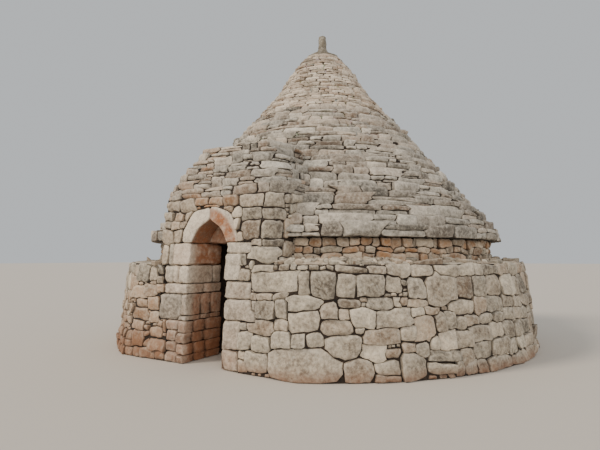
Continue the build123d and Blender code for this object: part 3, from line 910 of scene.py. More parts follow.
def limestone(key, name, stain, lichen_share, algae_share):
    """Weathered limestone. Its tones run from the darkest to the lightest stone of the wall;
    the points' own values say how light, warm, worn, dirty and soil-stained each spot is, with
    painted highlight in the wear and painted shade in the dirt."""
    colours = bpy.context.scene.trullo_colours
    dark, light = getattr(colours, f"{key}_dark"), getattr(colours, f"{key}_light")
    finish = bpy.data.materials.new(name)
    finish.use_nodes = True
    tree = finish.node_tree
    shader = tree.nodes["Principled BSDF"]
    place = node(tree, "TexCoord").outputs["Object"]
    read = {
        value: node(tree, "Attribute", attribute_name=value).outputs["Fac"]
        for value in ("tone", "warmth", "soil", "wear_and_highlight", "dirt_and_shade")
    }
    for pattern, (size, detail, rough) in NOISES.items():
        inputs = {"Vector": place, "Scale": 1 / size, "Detail": detail, "Roughness": rough}
        read[pattern] = node(tree, "TexNoise", inputs).outputs["Fac"]
    for pattern, (low, shade, high) in EDGES.items():
        stops = [(low, shade), (high, WHITE)]
        read[pattern] = node(tree, "ValToRGB", {"Fac": read[pattern]}, stops).outputs["Color"]

    # Patches of 250 mm and mottling of 50 mm shift each stone's own tone
    level = node(tree, "Math", {0: read["patches"], 1: read["tone"]}, operation="ADD").outputs[0]
    level = node(tree, "Math", {0: read["mottle"], 1: 2.0, 2: level}, operation="MULTIPLY_ADD")
    level = node(tree, "Math", {0: level.outputs[0], 1: 1.5}, operation="SUBTRACT").outputs[0]
    colour = node(tree, "ValToRGB", {"Fac": level}, [(0, dark), (1, light)]).outputs["Color"]

    # What lies on the stone, one over the other: iron in soft clouds of 120 mm, black algae in
    # films of 140 mm and pits of 20 mm, pale lichen in spots of 40 mm, worn arrises with painted
    # highlight, red soil splashed up from the ground, and dark earth with painted shade in the
    # joints and under the stones
    worn_and_lit = node(
        tree, "Math", {0: read["wear_and_highlight"], 1: read["mottle"]}, operation="MULTIPLY", use_clamp=True
    ).outputs[0]
    layers = (
        (getattr(colours, stain), read["warmth"], read["clouds"]),
        (colours.algae, read["films"], algae_share),
        (colours.algae, read["pits"], 0.7),
        (colours.lichen, read["spots"], lichen_share),
        (colours.worn_and_lit, worn_and_lit, 0.6),
        (colours.soil, read["soil"], read["clouds"]),
        (colours.joint, read["dirt_and_shade"], 0.9),
    )
    for above, where, strength in layers:
        share = node(tree, "Math", {0: where, 1: strength}, operation="MULTIPLY", use_clamp=True)
        inputs = {0: share.outputs[0], 6: colour, 7: (*above, 1)}
        colour = node(tree, "Mix", inputs, data_type="RGBA").outputs[2]
    tree.links.new(colour, shader.inputs["Base Color"])

    # Dry matt stone: no gloss, only planes chipped at 70 mm, pits of 50 and 22 mm, and grit
    shader.inputs["Roughness"].default_value = 0.93
    shader.inputs["IOR"].default_value = 1.45
    chips, hollows = (
        node(tree, "TexVoronoi", {"Vector": place, "Scale": 1 / size}).outputs["Distance"]
        for size in (0.07, 0.022)
    )
    relief = (
        (chips, 0.012, 0.5), (read["mottle"], 0.014, 0.9), (hollows, 0.003, 0.5),
        (read["grit"], 0.002, 0.5),
    )
    below = {}
    for height, distance, strength in relief:
        inputs = {"Height": height, "Distance": distance, "Strength": strength, **below}
        below = {"Normal": node(tree, "Bump", inputs).outputs[0]}
    tree.links.new(below["Normal"], shader.inputs["Normal"])
    return finish


def bedding_earth_with_painted_shadow():
    """Rubble core and red earth behind the stones: almost black-brown in the joints outside,
    dark enough to be painted shadow there, and rough grey masonry, with its stones drawn by
    Voronoi cells, in the room inside."""
    colours = bpy.context.scene.trullo_colours
    finish = bpy.data.materials.new("rubble_core_earth_with_painted_joint_shadow")
    finish.use_nodes = True
    tree = finish.node_tree
    shader = tree.nodes["Principled BSDF"]
    place = node(tree, "TexCoord").outputs["Object"]
    centred = node(tree, "VectorMath", {0: place, 1: (0, -AXIS_Y, 0)}, operation="ADD").outputs[0]
    plan = node(tree, "VectorMath", {0: centred, 1: (1, 1, 0)}, operation="MULTIPLY").outputs[0]
    radius = node(tree, "VectorMath", {0: plan}, operation="LENGTH").outputs["Value"]
    # 1 in the room, whose wall is 1.95 m from the axis, and 0 outside it
    inside = node(tree, "MapRange", {"Value": radius, "From Min": 2.0, "From Max": 1.97}).outputs[0]
    # Stones of the inner face, about 260 mm wide and 150 mm high
    stretched = node(tree, "Mapping", {"Vector": centred, "Scale": (3.8, 3.8, 6.6)}).outputs[0]
    cells = {"Vector": stretched, "Scale": 1.0}
    edges = node(tree, "TexVoronoi", cells, feature="DISTANCE_TO_EDGE").outputs["Distance"]
    stops = [(0.02, BLACK), (0.09, WHITE)]
    gaps = node(tree, "ValToRGB", {"Fac": edges}, stops).outputs["Color"]
    tint = node(tree, "TexVoronoi", cells).outputs["Color"]
    # Grain of 50 mm
    inputs = {"Vector": place, "Scale": 1 / 0.05, "Detail": 8.0}
    grain = node(tree, "TexNoise", inputs).outputs["Fac"]
    tones = [(0.3, colours.slab_dark), (0.7, colours.slab_light)]
    stone = node(tree, "ValToRGB", {"Fac": grain}, stops=tones).outputs["Color"]
    inputs = {0: 0.35, 6: stone, 7: tint}
    shade = node(tree, "Mix", inputs, data_type="RGBA", blend_type="SOFT_LIGHT").outputs[2]
    joint = (*colours.joint, 1)
    wall = node(tree, "Mix", {0: gaps, 6: joint, 7: shade}, data_type="RGBA").outputs[2]
    # Outside, earth made dark enough to paint the shadow deep in the joints
    tones = [(0.3, colours.joint), (0.8, colours.earth_and_joint_shadow)]
    earth_and_joint_shadow = node(tree, "ValToRGB", {"Fac": grain}, stops=tones).outputs["Color"]
    # Level tops of the ledge and of the cone's courses are slabs, not the dark earth that paints
    # the joints' shadow
    facing = node(tree, "SeparateXYZ", {0: node(tree, "NewGeometry").outputs["Normal"]}).outputs[2]
    height = node(tree, "SeparateXYZ", {0: place}).outputs[2]
    level = node(tree, "MapRange", {"Value": facing, "From Min": 0.7, "From Max": 0.9}).outputs[0]
    high = node(tree, "MapRange", {"Value": height, "From Min": 1.36, "From Max": 1.39}).outputs[0]
    tops = node(tree, "Math", {0: level, 1: high}, operation="MULTIPLY").outputs[0]
    earth_and_joint_shadow = node(tree, "Mix", {0: tops, 6: earth_and_joint_shadow, 7: stone}, data_type="RGBA").outputs[2]
    colour = node(tree, "Mix", {0: inside, 6: earth_and_joint_shadow, 7: wall}, data_type="RGBA").outputs[2]
    tree.links.new(colour, shader.inputs["Base Color"])
    shader.inputs["Roughness"].default_value = 0.96
    bump = node(tree, "Bump", {"Height": grain, "Distance": 0.02, "Strength": 0.8})
    tree.links.new(bump.outputs[0], shader.inputs["Normal"])
    return finish


# Kinds of limestone: the material's name, its stain, and its shares of lichen and algae
LIMESTONES = {
    # Field limestone, split by hand: grey-brown skin, cream where it is fresh
    "wall": ("weathered_field_limestone", "iron", 0.35, 0.4),
    # Roof slabs of bedded limestone: cool grey from rain and algae
    "slab": ("rain_washed_slab_limestone", "iron", 0.4, 0.55),
    # Thin slabs where rain runs off quickest: cleaner and paler beige
    "thin": ("pale_thin_slab_limestone", "iron", 0.25, 0.3),
    # Hammer-dressed blocks: cream faces with brick-red iron stains in the passage
    "dressed": ("hammer_dressed_cream_limestone", "deep_iron", 0.2, 0.25),
    # Carved stone that never dries out: greenish grey under lichen
    "finial": ("lichened_carved_limestone", "iron", 0.5, 0.5),
}
FINISHES = {}


def finish_named(key):
    """The finish of that name, made the first time it is asked for."""
    if key not in FINISHES:
        FINISHES[key] = bedding_earth_with_painted_shadow() if key == "core" else limestone(key, *LIMESTONES[key])
    return FINISHES[key]


def drawn_round(draw, level, spread, least=0):
    """One number for each stone, drawn round its level and kept between the least and 1."""
    return np.clip(level + spread * draw.normal(size=len(level)), least, 1)[:, None]


def look_of(tone, spread, warmth, warm_spread):
    """A look for lay_stones: each stone's tone and warmth are drawn round the given ones."""

    def look(points, draw):
        """Tone, warmth and soil of each stone."""
        tones = drawn_round(draw, np.full(len(points), tone), spread)
        return tones, drawn_round(draw, np.full(len(points), warmth), warm_spread), 0.0

    return look


# What a user would change


def length_setting(name, description, default, least, most):
    """A length in metres that shows in the scene's unit."""
    return bpy.props.FloatProperty(
        name=name, description=description, default=default, min=least, max=most, unit="LENGTH"
    )


def colour_setting(name, description, code):
    """A colour whose default is an sRGB hex code."""
    return bpy.props.FloatVectorProperty(
        name=name, description=description, default=linear(code), min=0, max=1, size=3,
        subtype="COLOR",
    )


class TrulloSizes(bpy.types.PropertyGroup):
    """Sizes of the laid stones."""

    joint: length_setting("Joint", "Usual gap between two wall stones", 0.012, 0.004, 0.04)
    row_height: length_setting("Row height", "Usual height of foot wall rows", 0.19, 0.1, 0.4)
    stone_width: length_setting("Stone width", "Usual width of foot wall stones", 0.3, 0.15, 0.7)
    slab_width: length_setting("Slab width", "Usual width of the lower slabs", 0.36, 0.15, 0.8)
    thin_width: length_setting("Thin slab width", "Usual width of the upper slabs", 0.24, 0.1, 0.5)
    lens: bpy.props.FloatProperty(
        name="Lens", description="Focal length of the camera for a 36 mm wide frame",
        default=28.2, min=15, max=85, unit="CAMERA",
    )


class TrulloColours(bpy.types.PropertyGroup):
    """Colours of the stones, of what stains them and of the stage."""

    wall_dark: colour_setting("Wall, dark", "Darkest field stones", "#5E564B")
    wall_light: colour_setting("Wall, light", "Lightest field stones", "#DACEB9")
    slab_dark: colour_setting("Slabs, dark", "Darkest roof slabs", "#5A564F")
    slab_light: colour_setting("Slabs, light", "Lightest roof slabs", "#D6CFC1")
    thin_dark: colour_setting("Thin slabs, dark", "Darkest slabs high on the cone", "#74695B")
    thin_light: colour_setting("Thin slabs, light", "Lightest slabs high on the cone", "#E6DAC8")
    dressed_dark: colour_setting("Blocks, dark", "Darkest dressed blocks", "#6E665B")
    dressed_light: colour_setting("Blocks, light", "Lightest dressed blocks", "#E4D7C4")
    finial_dark: colour_setting("Finial, dark", "Darkest of the finial", "#5E5B50")
    finial_light: colour_setting("Finial, light", "Lightest of the finial", "#B4AF9F")
    iron: colour_setting("Iron stain", "Ochre stain on field stones", "#AB7C52")
    deep_iron: colour_setting("Deep iron stain", "Brick-red stain in the passage", "#976342")
    # Pale colour of worn arrises, also used as a painted highlight on the upper arrises
    worn_and_lit: colour_setting("Worn arris", "Fresh stone on worn edges", "#DCD3C4")
    algae: colour_setting("Algae", "Black films and pits", "#4C4740")
    lichen: colour_setting("Lichen", "Pale spots", "#C4BFB2")
    soil: colour_setting("Soil", "Red earth splashed on the foot", "#7D5236")
    # Earth in the joints, made dark enough to be painted shadow there; joint also darkens the
    # stones' dirt with painted shade
    joint: colour_setting("Joint", "Darkest earth in the joints", "#1E1914")
    earth_and_joint_shadow: colour_setting("Earth", "Lightest earth in the joints", "#3E3127")
    floor: colour_setting("Floor", "Plain floor that the house stands on", "#C9C2B8")
    sky: colour_setting("Sky", "Light that comes from all round", "#DDE1E4")


class TRULLO_OT_core(bpy.types.Operator):
    """Give the CAD solids that stay in view their bedding finish"""

    bl_idname = "trullo.core"
    bl_label = "Bedding behind the stones"

    def execute(self, context):
        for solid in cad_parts.values():
            solid.data.materials.clear()
            solid.data.materials.append(finish_named("core"))
        return {"FINISHED"}


# Low rubble left of the doorway: start and end along the wall, foot and top
RUBBLE = (-2.4, -0.8, 0, 0.95)


class TRULLO_OT_foot_wall(bpy.types.Operator):
    """Lay the battered foot wall in rough rows"""

    bl_idname = "trullo.foot_wall"
    bl_label = "Foot wall"

    def execute(self, context):
        sizes = context.scene.trullo_sizes
        length = 2 * pi * WALL_REACH
        box = (-length / 2, length / 2, 0, LEDGE_HEIGHT)
        rows = laid_rows(box, sizes.row_height, sizes.stone_width, seed=11)
        outside = (rows[:, 0] < RUBBLE[0]) | (rows[:, 0] > RUBBLE[1]) | (rows[:, 1] > RUBBLE[3])
        rubble = laid_rows(RUBBLE, 0.6 * sizes.row_height, 0.55 * sizes.stone_width, seed=10)
        rows = np.concatenate([rubble, rows[outside]])
        sites = np.concatenate([WALL_STONES, without_overlap(rows, WALL_STONES, length)])
        sites = chinked(sites, foot_wall_room, box, seed=12, period=length, least=0.014)

        def look(points, draw):
            """Warmer left of the door, greyer at the top there, and soil-stained at the foot."""
            middle, z = points.mean(1), points[..., 2]
            left = smooth_step(-middle[:, 0], 0.3, 0.7) * smooth_step(-middle[:, 1], 2.6, 3.2)
            top = left * smooth_step(middle[:, 2], 1.05, 1.2)
            tone = drawn_round(draw, 0.45 + 0.06 * left - 0.2 * top, 0.16, 0.12)
            warm = drawn_round(draw, 0.05 + 0.35 * (left - top), 0.1)
            soil = 0.65 * (1 - smooth_step(z, 0.0, 0.2))
            soil = soil + 0.8 * left[:, None] * (1 - smooth_step(z, 0.1, 0.8))
            return tone, warm, np.clip(soil, 0, 0.8)

        kind, fixed = {**FIELD, "joint": sizes.joint}, len(WALL_STONES)
        laid = lay_stones(
            ring_wall, sites, foot_wall_room, look, seed=13, kind=kind, period=length, fixed=fixed
        )
        add_pieces("foot_wall_stones", laid, "wall")
        return {"FINISHED"}


# Depth in metres of the ledge's outer row, and the usual width of its stones and of those
# behind it
OUTER_ROW = 0.27
OUTER_STONE = 0.32
INNER_STONE = 0.26

# Loose chips on the ledge: how many, the share in the heap right of the doorway, where the
# heap starts and ends, and how far left of the doorway there are none
CHIPS = 200
HEAP_SHARE = 0.5
HEAP = (1.1, 2.7)
CLEAR_LEFT = 3


class TRULLO_OT_ledge(bpy.types.Operator):
    """Lay the flat stones of the ledge and the chips that level it"""

    bl_idname = "trullo.ledge"
    bl_label = "Ledge"

    def execute(self, context):
        length = 2 * pi * LEDGE_REACH
        width = LEDGE_RADIUS - DRUM_RADIUS
        start, end = -length / 2, length / 2
        edge, rest = (start, end, 0, OUTER_ROW), (start, end, OUTER_ROW, width)
        outer = laid_rows(edge, OUTER_ROW, OUTER_STONE, seed=21, level=0.08, uneven=(0.4, 1.8))
        inner = laid_rows(rest, OUTER_ROW, INNER_STONE, seed=22, level=0.1)
        sites, box = np.concatenate([outer, inner]), (start, end, 0, width)
        sites = chinked(sites, ledge_room, box, seed=23, period=length)
        look = look_of(tone=0.52, spread=0.17, warmth=0.1, warm_spread=0.12)
        laid = lay_stones(ledge_bed, sites, ledge_room, look, seed=24, kind=LEDGE, period=length)
        add_pieces("ledge_stones", laid, "wall")

        # Chips that would lie just left of the doorway go to the same place on its right
        draw = np.random.default_rng(25)
        spread = draw.uniform(-1, 1, CHIPS) * length / 2
        along = np.where(draw.random(CHIPS) < HEAP_SHARE, draw.uniform(*HEAP, CHIPS), spread)
        along = np.where((along < 0) & (along > -CLEAR_LEFT), -along, along)
        inwards = 0.04 + (width - 0.06) * draw.random(CHIPS)
        half = draw.uniform(0.02, 0.07, (CHIPS, 2))
        chips = np.stack([along, inwards, half[:, 0], 0.75 * half[:, 1]], -1)
        look = look_of(tone=0.56, spread=0.2, warmth=0.12, warm_spread=0.15)
        laid = lay_stones(chip_bed, chips, ledge_room, look, seed=26, kind=CHIP, period=length)
        add_piece("ledge_chips", laid, "wall")
        return {"FINISHED"}


class TRULLO_OT_drum(bpy.types.Operator):
    """Lay the small stones of the drum, between the ledge and the eaves"""

    bl_idname = "trullo.drum"
    bl_label = "Drum"

    def execute(self, context):
        length = 2 * pi * DRUM_RADIUS
        box = (-length / 2, length / 2, LEDGE_HEIGHT, EAVE_HEIGHT)
        rows = laid_rows(box, row_height=0.13, stone_width=0.2, seed=31, uneven=(0.4, 1.9))
        sites = chinked(rows, drum_room, box, seed=32, period=length)
        look = look_of(tone=0.46, spread=0.22, warmth=0.42, warm_spread=0.27)
        laid = lay_stones(drum_wall, sites, drum_room, look, seed=33, kind=DRUM, period=length)
        add_pieces("drum_stones", laid, "wall")
        return {"FINISHED"}


# Where the bay's rows start and end along its face, in metres from the doorway's middle
BAY_ROWS = (-1.7, 2.0)


class TRULLO_OT_bay(bpy.types.Operator):
    """Lay the bay's wall round the doorway, up to its roof"""

    bl_idname = "trullo.bay"
    bl_label = "Doorway bay"

    def execute(self, context):
        box = (*BAY_ROWS, LEDGE_HEIGHT - 0.07, BAY_HEIGHT)
        rows = laid_rows(box, row_height=0.15, stone_width=0.24, seed=41, uneven=(0.4, 1.8))
        sites = np.concatenate([BAY_STONES, without_overlap(rows, BAY_STONES)])
        sites = chinked(sites, bay_wall_room, box, seed=42, spacing=0.025, least=0.018)

        def look(points, draw):
            """Paler left of the door and right beside the arch, and ochre over the arch."""
            x, _, z = points.mean(1).T
            left = 1 - smooth_step(x, -0.2, 0.5)
            over = smooth_step(z, 2.15, 2.25) * (1 - smooth_step(np.abs(x - 0.1), 0.3, 0.6))
            beside = smooth_step(z, 1.72, 1.76) * smooth_step(-z, -2.22, -2.15)
            beside = beside * smooth_step(x, 0.3, 0.34) * smooth_step(-x, -0.66, -0.62)
            tone = drawn_round(draw, 0.38 + 0.14 * left + 0.35 * beside, 0.17)
            warm = drawn_round(draw, 0.08 + 0.1 * left + 0.5 * over, 0.12)
            return tone, warm, 0.0

        kind = {**FIELD, "joint": context.scene.trullo_sizes.joint, "smallest": 0.0008}
        fixed = len(BAY_STONES)
        laid = lay_stones(bay_wall, sites, bay_wall_room, look, seed=43, kind=kind, fixed=fixed)
        add_piece("bay_wall_stones", laid, "wall")
        return {"FINISHED"}


# How high mud splashes up the jambs, in metres
SPLASH = {"left": 0.95, "right": 0.4}


class TRULLO_OT_jambs(bpy.types.Operator):
    """Lay the dressed blocks of the two jambs, which turn the corner into the passage"""

    bl_idname = "trullo.jambs"
    bl_label = "Jambs"

    def execute(self, context):
        for seed, ((side, level), facts) in enumerate(JAMB_LOOKS.items(), 50):
            tone_face, passage_tone_with_shade, warm_face, warm_passage, joints = facts
            block = f"{side}_jamb_block_{level}"
            low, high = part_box(block)
            corner, size = np.array([low.x, low.z]), np.array([high.x - low.x, high.z - low.z])
            shares = np.array(JAMB_SPLITS.get((side, level), [(0.5, 0.5, 0.5, 0.5)]))
            sites = np.concatenate([corner + shares[:, :2] * size, shares[:, 2:] * size], 1)

            def look(points, draw):
                """Redder towards the passage, where the tone turns to the passage's own, on the
                left jamb a darker one that is partly painted shade, and soil-stained up to where
                mud splashes.
                """
                inwards = points[..., 1] - AXIS_Y + facade_at(points[..., 2])
                passage = smooth_step(inwards, 0.03, 0.2)
                own = 0.08 * draw.normal(size=(len(points), 1))
                tone = np.clip(tone_face + own + (passage_tone_with_shade - tone_face) * passage, 0, 1)
                warm = np.clip(warm_face + own + (warm_passage - warm_face) * passage, 0, 1)
                soil = 0.9 * (1 - smooth_step(points[..., 2], 0.1, SPLASH[side]))
                return tone, warm, soil * (0.4 + 0.6 * passage)

            kind, room = {**BLOCK, "rings": deep_rings(joints)}, room_of_box(block, gap=0.002)
            depth = facade_at((low.z + high.z) / 2) - JAMB_BACK
            laid = lay_stones(facade, sites, room, look, seed, kind, depth)
            add_piece(f"{side}_jamb_stone_{level}", laid, "dressed", [block])
        return {"FINISHED"}


# How the two sides of the arch look: which way the side lies, tone of the stone's face and
# how much darker its inner side is, a painted shade on the soffit, warmth of the band along
# its inner edge, and tone and warmth of the slab behind it
ARCH_LOOKS = {
    "left": (-1, 0.92, 0.8, 0.0, 0.45, 0.85),
    "right": (1, 0.72, 0.6, 0.95, 0.75, 0.8),
}

# Middle and half size, x and z, from which the right arch stone is cut, over its whole side
ARCH_SITE = np.array([0.30, 2.0, 0.3, 0.3])


class TRULLO_OT_arch(bpy.types.Operator):
    """Set the two curved arch stones and the slabs that close the arch's head"""

    bl_idname = "trullo.arch"
    bl_label = "Arch"

    def execute(self, context):
        for name, looks in ARCH_LOOKS.items():
            side, face_tone, soffit_painted_shade, ochre, slab_tone, slab_warmth = looks

            def room(u, v, i):
                """Between the two arcs, the outer one uneven, on its own side of the middle."""
                x = side * u
                inner = np.hypot(x - ARCH_INNER[0], v - ARCH_INNER[1]) - ARCH_INNER[2]
                uneven = 0.010 * np.sin(9 * np.arctan2(v - DOOR_HEIGHT, x) + side)
                outer = uneven - 0.008 - arch_distance(x, v)
                return np.minimum.reduce([inner, outer, x, v - DOOR_HEIGHT])

            def look(points, draw):
                """Cream on the left stone; on the right, ochre with a pale outer band. The
                inner side of both is red-brown, and darker as painted shade."""
                x, z = side * points[..., 0], points[..., 2]
                passage = smooth_step(points[..., 1] - AXIS_Y + facade_at(z), -0.005, 0.03)
                radius = np.hypot(x - ARCH_INNER[0], z - ARCH_INNER[1])
                band = ochre * (1 - smooth_step(radius, 0.73, 0.79))
                return face_tone - soffit_painted_shade * passage, 0.04 + band + passage * (0.95 - band), 0.0

            sites = ARCH_SITE[None] * (side, 1, 1, 1)
            depth = facade_at(ARCH_SITE[1]) - TYMPANUM_FRONT
            laid = lay_stones(facade, sites, room, look, 71 + side, ARCH, depth)
            add_piece(f"arch_curved_stone_{name}", laid, "dressed", [f"arch_stone_{name}"])

            slab = f"tympanum_{name}"
            low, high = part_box(slab)
            room, look = room_of_box(slab), look_of(slab_tone, 0.0, slab_warmth, 0.0)
            sites, depth = np.array([middle_and_half(slab)]), high.y - low.y
            laid = lay_stones(slab_face, sites, room, look, 75 + side, TYMPANUM, depth)
            add_piece(f"tympanum_slab_{name}", laid, "dressed", [slab])
        return {"FINISHED"}


# A course must be thicker than this, in metres, to hold pairs of thin slabs
PAIR_THICKNESS = 0.085


def course_sites(courses, lengths, widths, seed, double):
    """Sites of slabs in level courses, the number of each site's course, and how far each
    slab rises over its course; a share of the slabs is two thin ones, one on another."""
    draw = np.random.default_rng(seed)
    sites, numbers, rises = [], [], []
    for number, (base, thickness, _) in enumerate(courses):
        length = lengths[number]
        stones = max(8, round(length / widths[number]))
        wide = draw.uniform(0.4, 1.7, stones)
        cuts = np.concatenate([[0], np.cumsum(wide)]) / wide.sum() - 0.5
        cuts = cuts + draw.uniform(0, 1) / stones
        middle, half = (cuts[1:] + cuts[:-1]) * length / 2, np.diff(cuts) * length / 2
        pair = draw.random(stones) < (double if thickness > PAIR_THICKNESS else 0)
        split = base + thickness * draw.uniform(0.35, 0.65, stones)
        top = base + thickness
        level, tall = np.full(stones, base + thickness / 2), np.full(stones, thickness * 0.55)
        full = np.stack([middle, level, half, tall], -1)
        lower = np.stack([middle, (base + split) / 2, half, (split - base) * 0.5], -1)
        level, tall = (split + top) / 2, (top - split) * 0.5
        upper = np.stack([middle + 0.3 * half, level, 0.9 * half, tall], -1)
        rise = thickness * draw.uniform(-0.1, 0.38, stones)
        sites += [full[~pair], lower[pair], upper[pair]]
        rises += [rise[~pair], rise[pair], rise[pair]]
        numbers += [np.full(stones + pair.sum(), number)]
    return np.concatenate(sites), np.concatenate(numbers), np.concatenate(rises)


def course_wave(turn, number):
    """How far the top of a course rises over its solid: up to 26 mm, waving round the cone."""
    slow = 0.008 * np.sin(turn * (5 + number % 4) + number * 1.7)
    return 0.012 + slow + 0.006 * np.sin(turn * 23 + number)


# Parts of the cone from its foot up: number of courses, finish and kind of slab
CONE_PARTS = {
    "lower": (13, "slab", SLAB),
    "middle": (9, "slab", SLAB),
    "upper": (12, "thin", THIN),
    "top": (12, "thin", TOP),
}


class TRULLO_OT_cone(bpy.types.Operator):
    """Lay every course of the cone, slab by slab"""

    bl_idname = "trullo.cone"
    bl_label = "Cone"

    def execute(self, context):
        sizes = context.scene.trullo_sizes
        start = 0
        for seed, (part, (count, finish, kind)) in enumerate(CONE_PARTS.items(), 80):
            courses = CONE_COURSES[start : start + count]
            usual = sizes.thin_width if finish == "thin" else sizes.slab_width
            widths = usual * np.where(courses[:, 0] < EAVE_HEIGHT + 0.5, 1.4, 1.0)
            lengths = 2 * pi * courses[:, 2]
            sites, number, rise = course_sites(courses, lengths, widths, seed, double=0.35)
            base, thickness, radius = courses[number].T
            whole = number + start

            def face(u, v, w, i):
                """A ring of the course's own radius."""
                return around(u / radius[i], radius[i] + w, v)

            def room(u, v, i):
                """Between the waving top of the course below and that of its own slab, and
                beside the bay's roof."""
                turn = u / radius[i]
                low = base[i] + course_wave(turn, whole[i] - 1) - BED_LAP
                low = np.where(whole[i] == 0, EAVE_HEIGHT - BED_LAP, low)
                last = whole[i] == len(CONE_COURSES) - 1
                top = np.where(last, 0, course_wave(turn, whole[i]) + rise[i])
                high = base[i] + thickness[i] + top
                setback = np.maximum(BAY_ROOF_SLOPE * (base[i] - BAY_HEIGHT), 0)
                beside = beside_bay(around(turn, radius[i], v), setback + 0.08)
                beside = np.where(base[i] < TERRACE_HEIGHT - 0.01, beside, 9)
                return np.minimum.reduce([v - low, high - v, beside])

            def look(points, draw):
                """Grey low down, paler and warmer higher up."""
                pale = smooth_step(points[..., 2].mean(1), 2.6, 4.2)
                tone = drawn_round(draw, 0.46 + 0.12 * pale, 0.22 + 0.06 * pale)
                return tone, drawn_round(draw, 0.04 + 0.12 * pale, 0.1), 0.0

            depth, period = CONE_SLOPE * thickness + 0.05, 2 * pi * radius
            laid = lay_stones(face, sites, room, look, seed + 10, kind, depth, period, number)
            add_pieces(f"cone_{part}_slabs", laid, finish, HALVES)
            start += count
        return {"FINISHED"}


# Slabs of the bay's roof: length of its courses round the bay and usual width of a slab
BAY_ROOF_LENGTH = 4.4
BAY_SLAB_WIDTH = 0.3

# The terrace over them, from left to right and from front to back, measured from the axis
TERRACE = (-1.0, 1.2, -3.0, -1.9)


class TRULLO_OT_bay_roof(bpy.types.Operator):
    """Lay the stepped roof of the bay and the terrace above it"""

    bl_idname = "trullo.bay_roof"
    bl_label = "Roof of the bay"

    def execute(self, context):
        courses = CONE_COURSES[FIRST_ROOF_COURSE : FIRST_ROOF_COURSE + ROOF_COURSES]
        lengths, widths = [BAY_ROOF_LENGTH] * ROOF_COURSES, [BAY_SLAB_WIDTH] * ROOF_COURSES
        sites, number, rise = course_sites(courses, lengths, widths, seed=101, double=0.5)
        base, thickness, radius = courses[number].T
        setback = BAY_ROOF_SLOPE * (base - BAY_HEIGHT)

        def face(u, v, w, i):
            """The face of one roof course: the bay's plan, set back by the roof's slope."""
            back = setback[i]
            corners = (BAY_CORNERS[0], BAY_ROOF_RIGHT_CORNER - back)
            front, left, right = facade_at(BAY_HEIGHT) - back, BAY_LEFT - back, BAY_RIGHT - back
            x, y, turn = bay_path(u, front, left, right, corners)
            return np.stack([x + w * np.sin(turn), y - w * np.cos(turn), v + 0 * w], -1)

        def room(u, v, i):
            """Between the waving tops of the course below and its own, in front of the cone."""
            spot = face(u, v, 0 * u, i)
            behind = np.hypot(spot[..., 0], spot[..., 1] - AXIS_Y) - radius[i] + 0.05
            low = base[i] + course_wave(u / 2, number[i] - 1) - BED_LAP
            low = np.where(number[i] == 0, BAY_HEIGHT - 0.02, low)
            high = base[i] + thickness[i] + course_wave(u / 2, number[i]) + rise[i]
            return np.minimum.reduce([v - low, high - v, behind])

        def look(points, draw):
            """Grey, with warm slabs over the left side."""
            left = 1 - smooth_step(points.mean(1)[:, 0], -0.5, 0.3)
            tone = drawn_round(draw, 0.44 + 0 * left, 0.2)
            return tone, drawn_round(draw, 0.06 + 0.25 * left, 0.16), 0.0

        laid = lay_stones(
            face, sites, room, look, seed=120, kind=BAY_SLAB,
            depth=BAY_ROOF_SLOPE * thickness + 0.06, group=number,
        )
        add_piece("bay_roof_slabs", laid, "slab")

        setback_top = BAY_ROOF_SLOPE * (TERRACE_HEIGHT - BAY_HEIGHT)

        def top_face(u, v, w, i=None):
            """The level terrace on the last roof course."""
            return np.stack([u, AXIS_Y + v, TERRACE_HEIGHT + w + 0 * u], -1)

        def top_room(u, v, i):
            """Inside the last course's plan, in front of the cone."""
            inside = np.minimum(u + BAY_LEFT - setback_top, BAY_RIGHT - setback_top - u)
            front = v + facade_at(BAY_HEIGHT) - setback_top
            behind = np.hypot(u, v) - cone_radius(TERRACE_HEIGHT) + 0.05
            return np.minimum.reduce([inside, front, behind])

        rows = laid_rows(TERRACE, row_height=0.24, stone_width=0.3, seed=130, level=0.1)
        sites = chinked(rows, top_room, TERRACE, seed=131)
        look = look_of(tone=0.5, spread=0.16, warmth=0.08, warm_spread=0.1)
        laid = lay_stones(top_face, sites, top_room, look, seed=132, kind=FLAT)
        add_piece("bay_terrace_slabs", laid, "slab")
        return {"FINISHED"}


# Tone, warmth, soil, wear and dirt all over the capstone and the finial
TOP_VALUES = {"tone": 0.3, "warmth": 0.08, "soil": 0.0, "wear_and_highlight": 0.15, "dirt_and_shade": 0.1}

# How far the capstone's brim stands out over its solid, and the radius of the finial's neck
CAPSTONE_BRIM = 0.06
NECK_RADIUS = 0.082


def waved(turn):
    """Outline of the capstone: a circle with waves of 3%, 2% and 1.2%, 3, 5 and 9 of them."""
    return 1 + 0.03 * np.sin(3 * turn + 1) + 0.02 * np.sin(5 * turn) + 0.012 * np.sin(9 * turn)


def nearly_round(turn):
    """Outline of the finial's foot: a circle with four waves of 2%."""
    return 1 + 0.02 * np.sin(4 * turn)


def squared(turn):
    """Outline of the post, a square with soft corners: (|cos| ** 5 + |sin| ** 5) ** (-1 / 5)."""
    return (np.abs(np.cos(turn)) ** 5 + np.abs(np.sin(turn)) ** 5) ** (-1 / 5)


